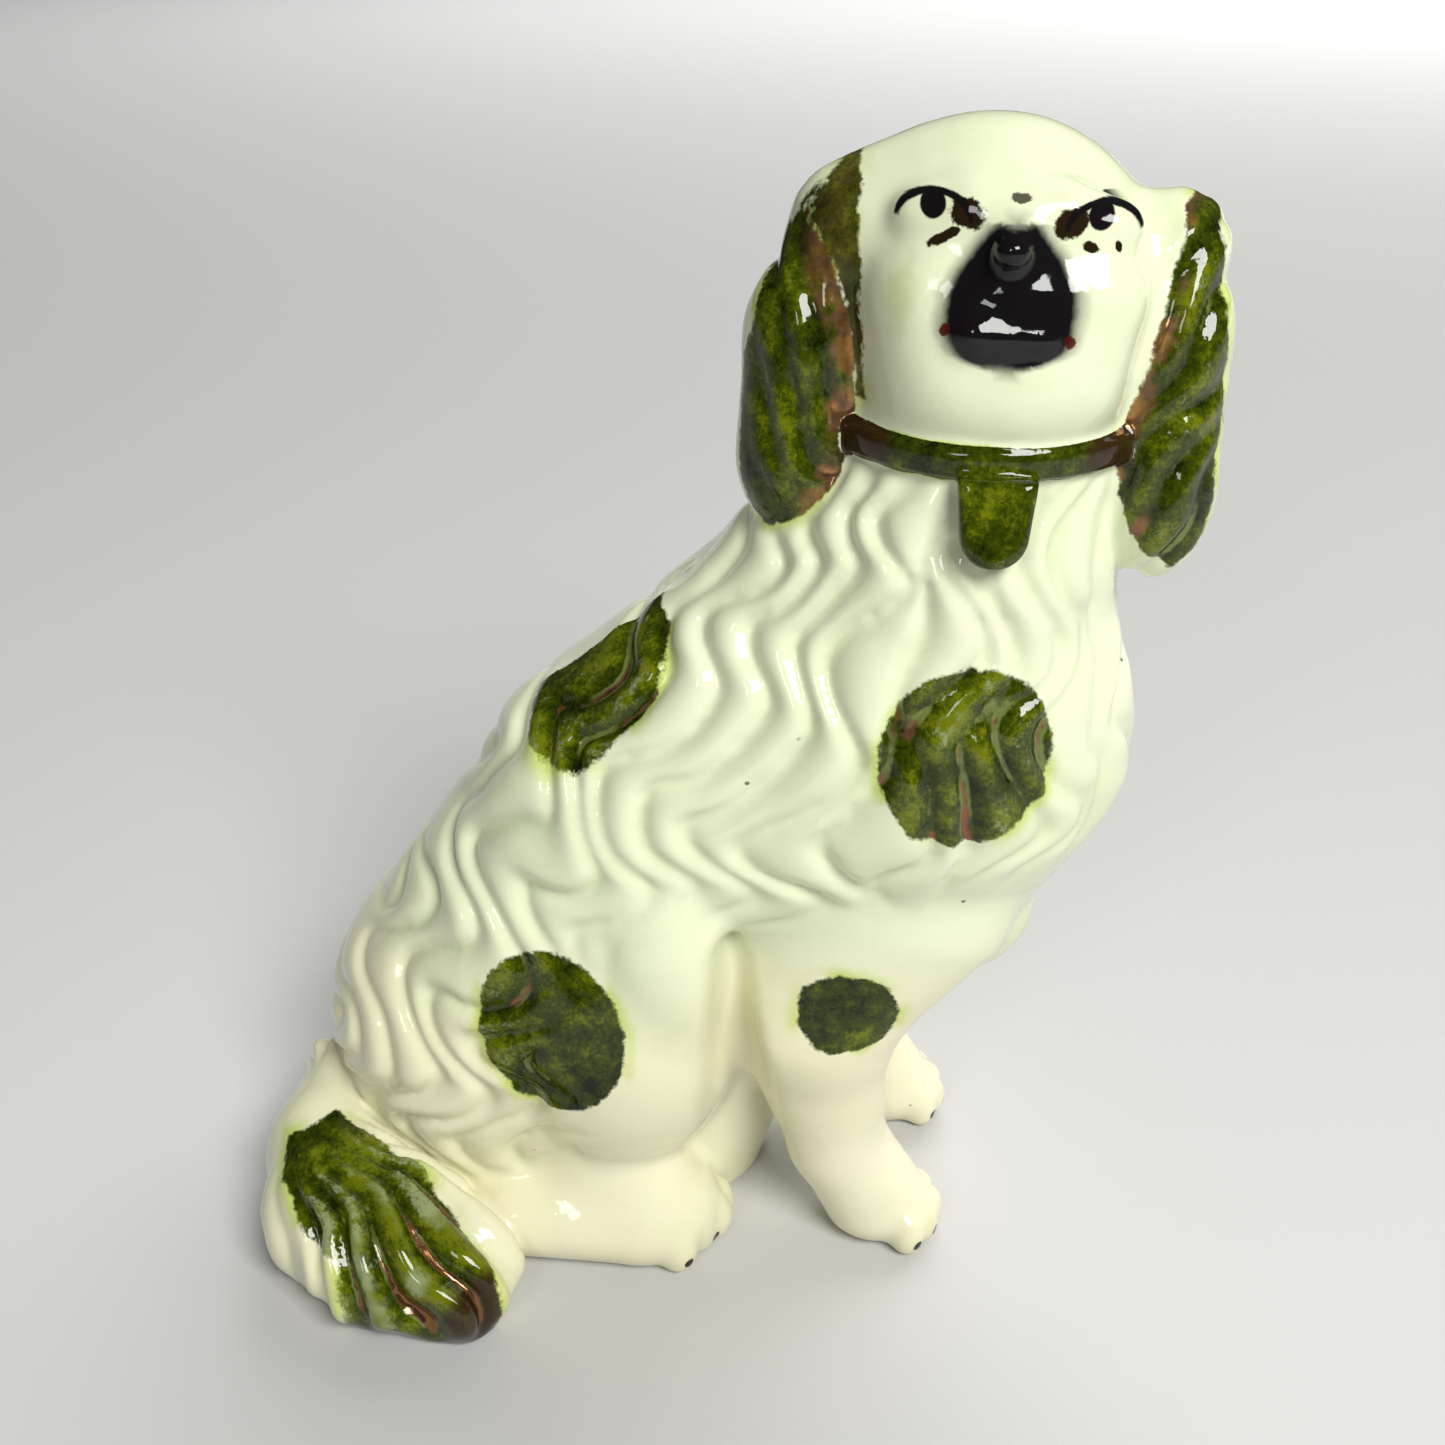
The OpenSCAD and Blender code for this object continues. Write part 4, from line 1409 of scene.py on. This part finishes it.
def set_sweep(floor, k):
    """The pale paper that the figure stands on."""
    points = np.array([[x, y, 0.0] for x in SWEEP_X for y in SWEEP_Y]) * k * 1000
    sweep = show("sweep", mesh_of("sweep", points, np.array([[0, 2, 3, 1]])))
    made, tree = material("sweep_paper")
    shader, out = tree.nodes.new("ShaderNodeBsdfPrincipled"), tree.nodes.new("ShaderNodeOutputMaterial")
    shader.inputs["Base Color"].default_value = (*floor, 1)
    shader.inputs["Roughness"].default_value = 0.75
    shader.inputs["Specular IOR Level"].default_value = 0.25
    tree.links.new(shader.outputs[0], out.inputs[0])
    sweep.data.materials.append(made)


def set_lights(key, k):
    """The soft boxes, and the faint light from all round."""
    for name, place, size, power, shade in LIGHTS:
        light = bpy.data.lights.new(name, "AREA")
        light.shape, light.size, light.size_y = "RECTANGLE", size[0] * k, size[1] * k
        light.energy, light.color = key * power * k * k, shade
        lamp = bpy.data.objects.new(name, light)
        lamp.location = Vector(place) * k
        if name == "sky_box":  # faces straight down on the floor behind, and isn't mirrored in the glaze
            lamp.visible_glossy = False
        else:
            lamp.rotation_euler = (lamp.location - Vector(AIM) * k).to_track_quat("Z", "Y").to_euler()
        bpy.context.scene.collection.objects.link(lamp)
    world = bpy.data.worlds.new("studio")
    world.use_nodes = True
    world.node_tree.nodes["Background"].inputs[0].default_value = (1.0, 1.0, 1.0, 1)
    world.node_tree.nodes["Background"].inputs[1].default_value = GLOW
    bpy.context.scene.world = world


def set_camera(length, k):
    lens = bpy.data.cameras.new("camera")
    lens.sensor_width, lens.lens = 36, length
    eye = bpy.data.objects.new("camera", lens)
    eye.location = Vector(EYE) * k
    eye.rotation_euler = (math.radians(90 - TILT), 0, math.radians(TURN))
    bpy.context.scene.collection.objects.link(eye)
    bpy.context.scene.camera = eye
    bpy.context.scene.view_settings.view_transform = "Standard"


class FIGURINE_OT_stage(bpy.types.Operator):
    """Set the pale sweep, the soft boxes and the camera"""

    bl_idname = "figurine.stage"
    bl_label = "Set the stage"

    def execute(self, context):
        look = context.scene.figurine_stage
        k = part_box("head_face_half")[1].z / (FULL_HEIGHT * MM)
        set_sweep(look.floor, k)
        set_lights(look.key, k)
        set_camera(look.lens, k)
        return {"FINISHED"}


STEPS = (
    FIGURINE_OT_skin,
    FIGURINE_OT_trunk,
    FIGURINE_OT_slab,
    FIGURINE_OT_head,
    FIGURINE_OT_muzzle,
    FIGURINE_OT_ears,
    FIGURINE_OT_collar,
    FIGURINE_OT_forelegs,
    FIGURINE_OT_hind_feet,
    FIGURINE_OT_tail,
    FIGURINE_OT_stage,
)
GROUPS = {
    "figurine_clay": FIGURINE_PG_clay,
    "figurine_coat": FIGURINE_PG_coat,
    "figurine_glaze": FIGURINE_PG_glaze,
    "figurine_stage": FIGURINE_PG_stage,
}


class FIGURINE_PT_panel(bpy.types.Panel):
    """The figurine's sizes, colours and steps"""

    bl_idname = "FIGURINE_PT_panel"
    bl_label = "Spaniel figurine"
    bl_space_type = "VIEW_3D"
    bl_region_type = "UI"
    bl_category = "Figurine"

    def draw(self, context):
        for key, group in GROUPS.items():
            box = self.layout.box()
            for prop in group.__annotations__:
                box.prop(getattr(context.scene, key), prop)
        for step in STEPS:
            self.layout.operator(step.bl_idname)


def register():
    for group in GROUPS.values():
        bpy.utils.register_class(group)
    for step in (*STEPS, FIGURINE_PT_panel):
        bpy.utils.register_class(step)
    for key, group in GROUPS.items():
        setattr(bpy.types.Scene, key, PointerProperty(type=group))


def unregister():
    for key in GROUPS:
        delattr(bpy.types.Scene, key)
    for known in (FIGURINE_PT_panel, *reversed(STEPS), *GROUPS.values()):
        bpy.utils.unregister_class(known)


def main():
    register()
    for step in STEPS:
        category, name = step.bl_idname.split(".")
        getattr(getattr(bpy.ops, category), name)()


if __name__ == "__main__":
    main()
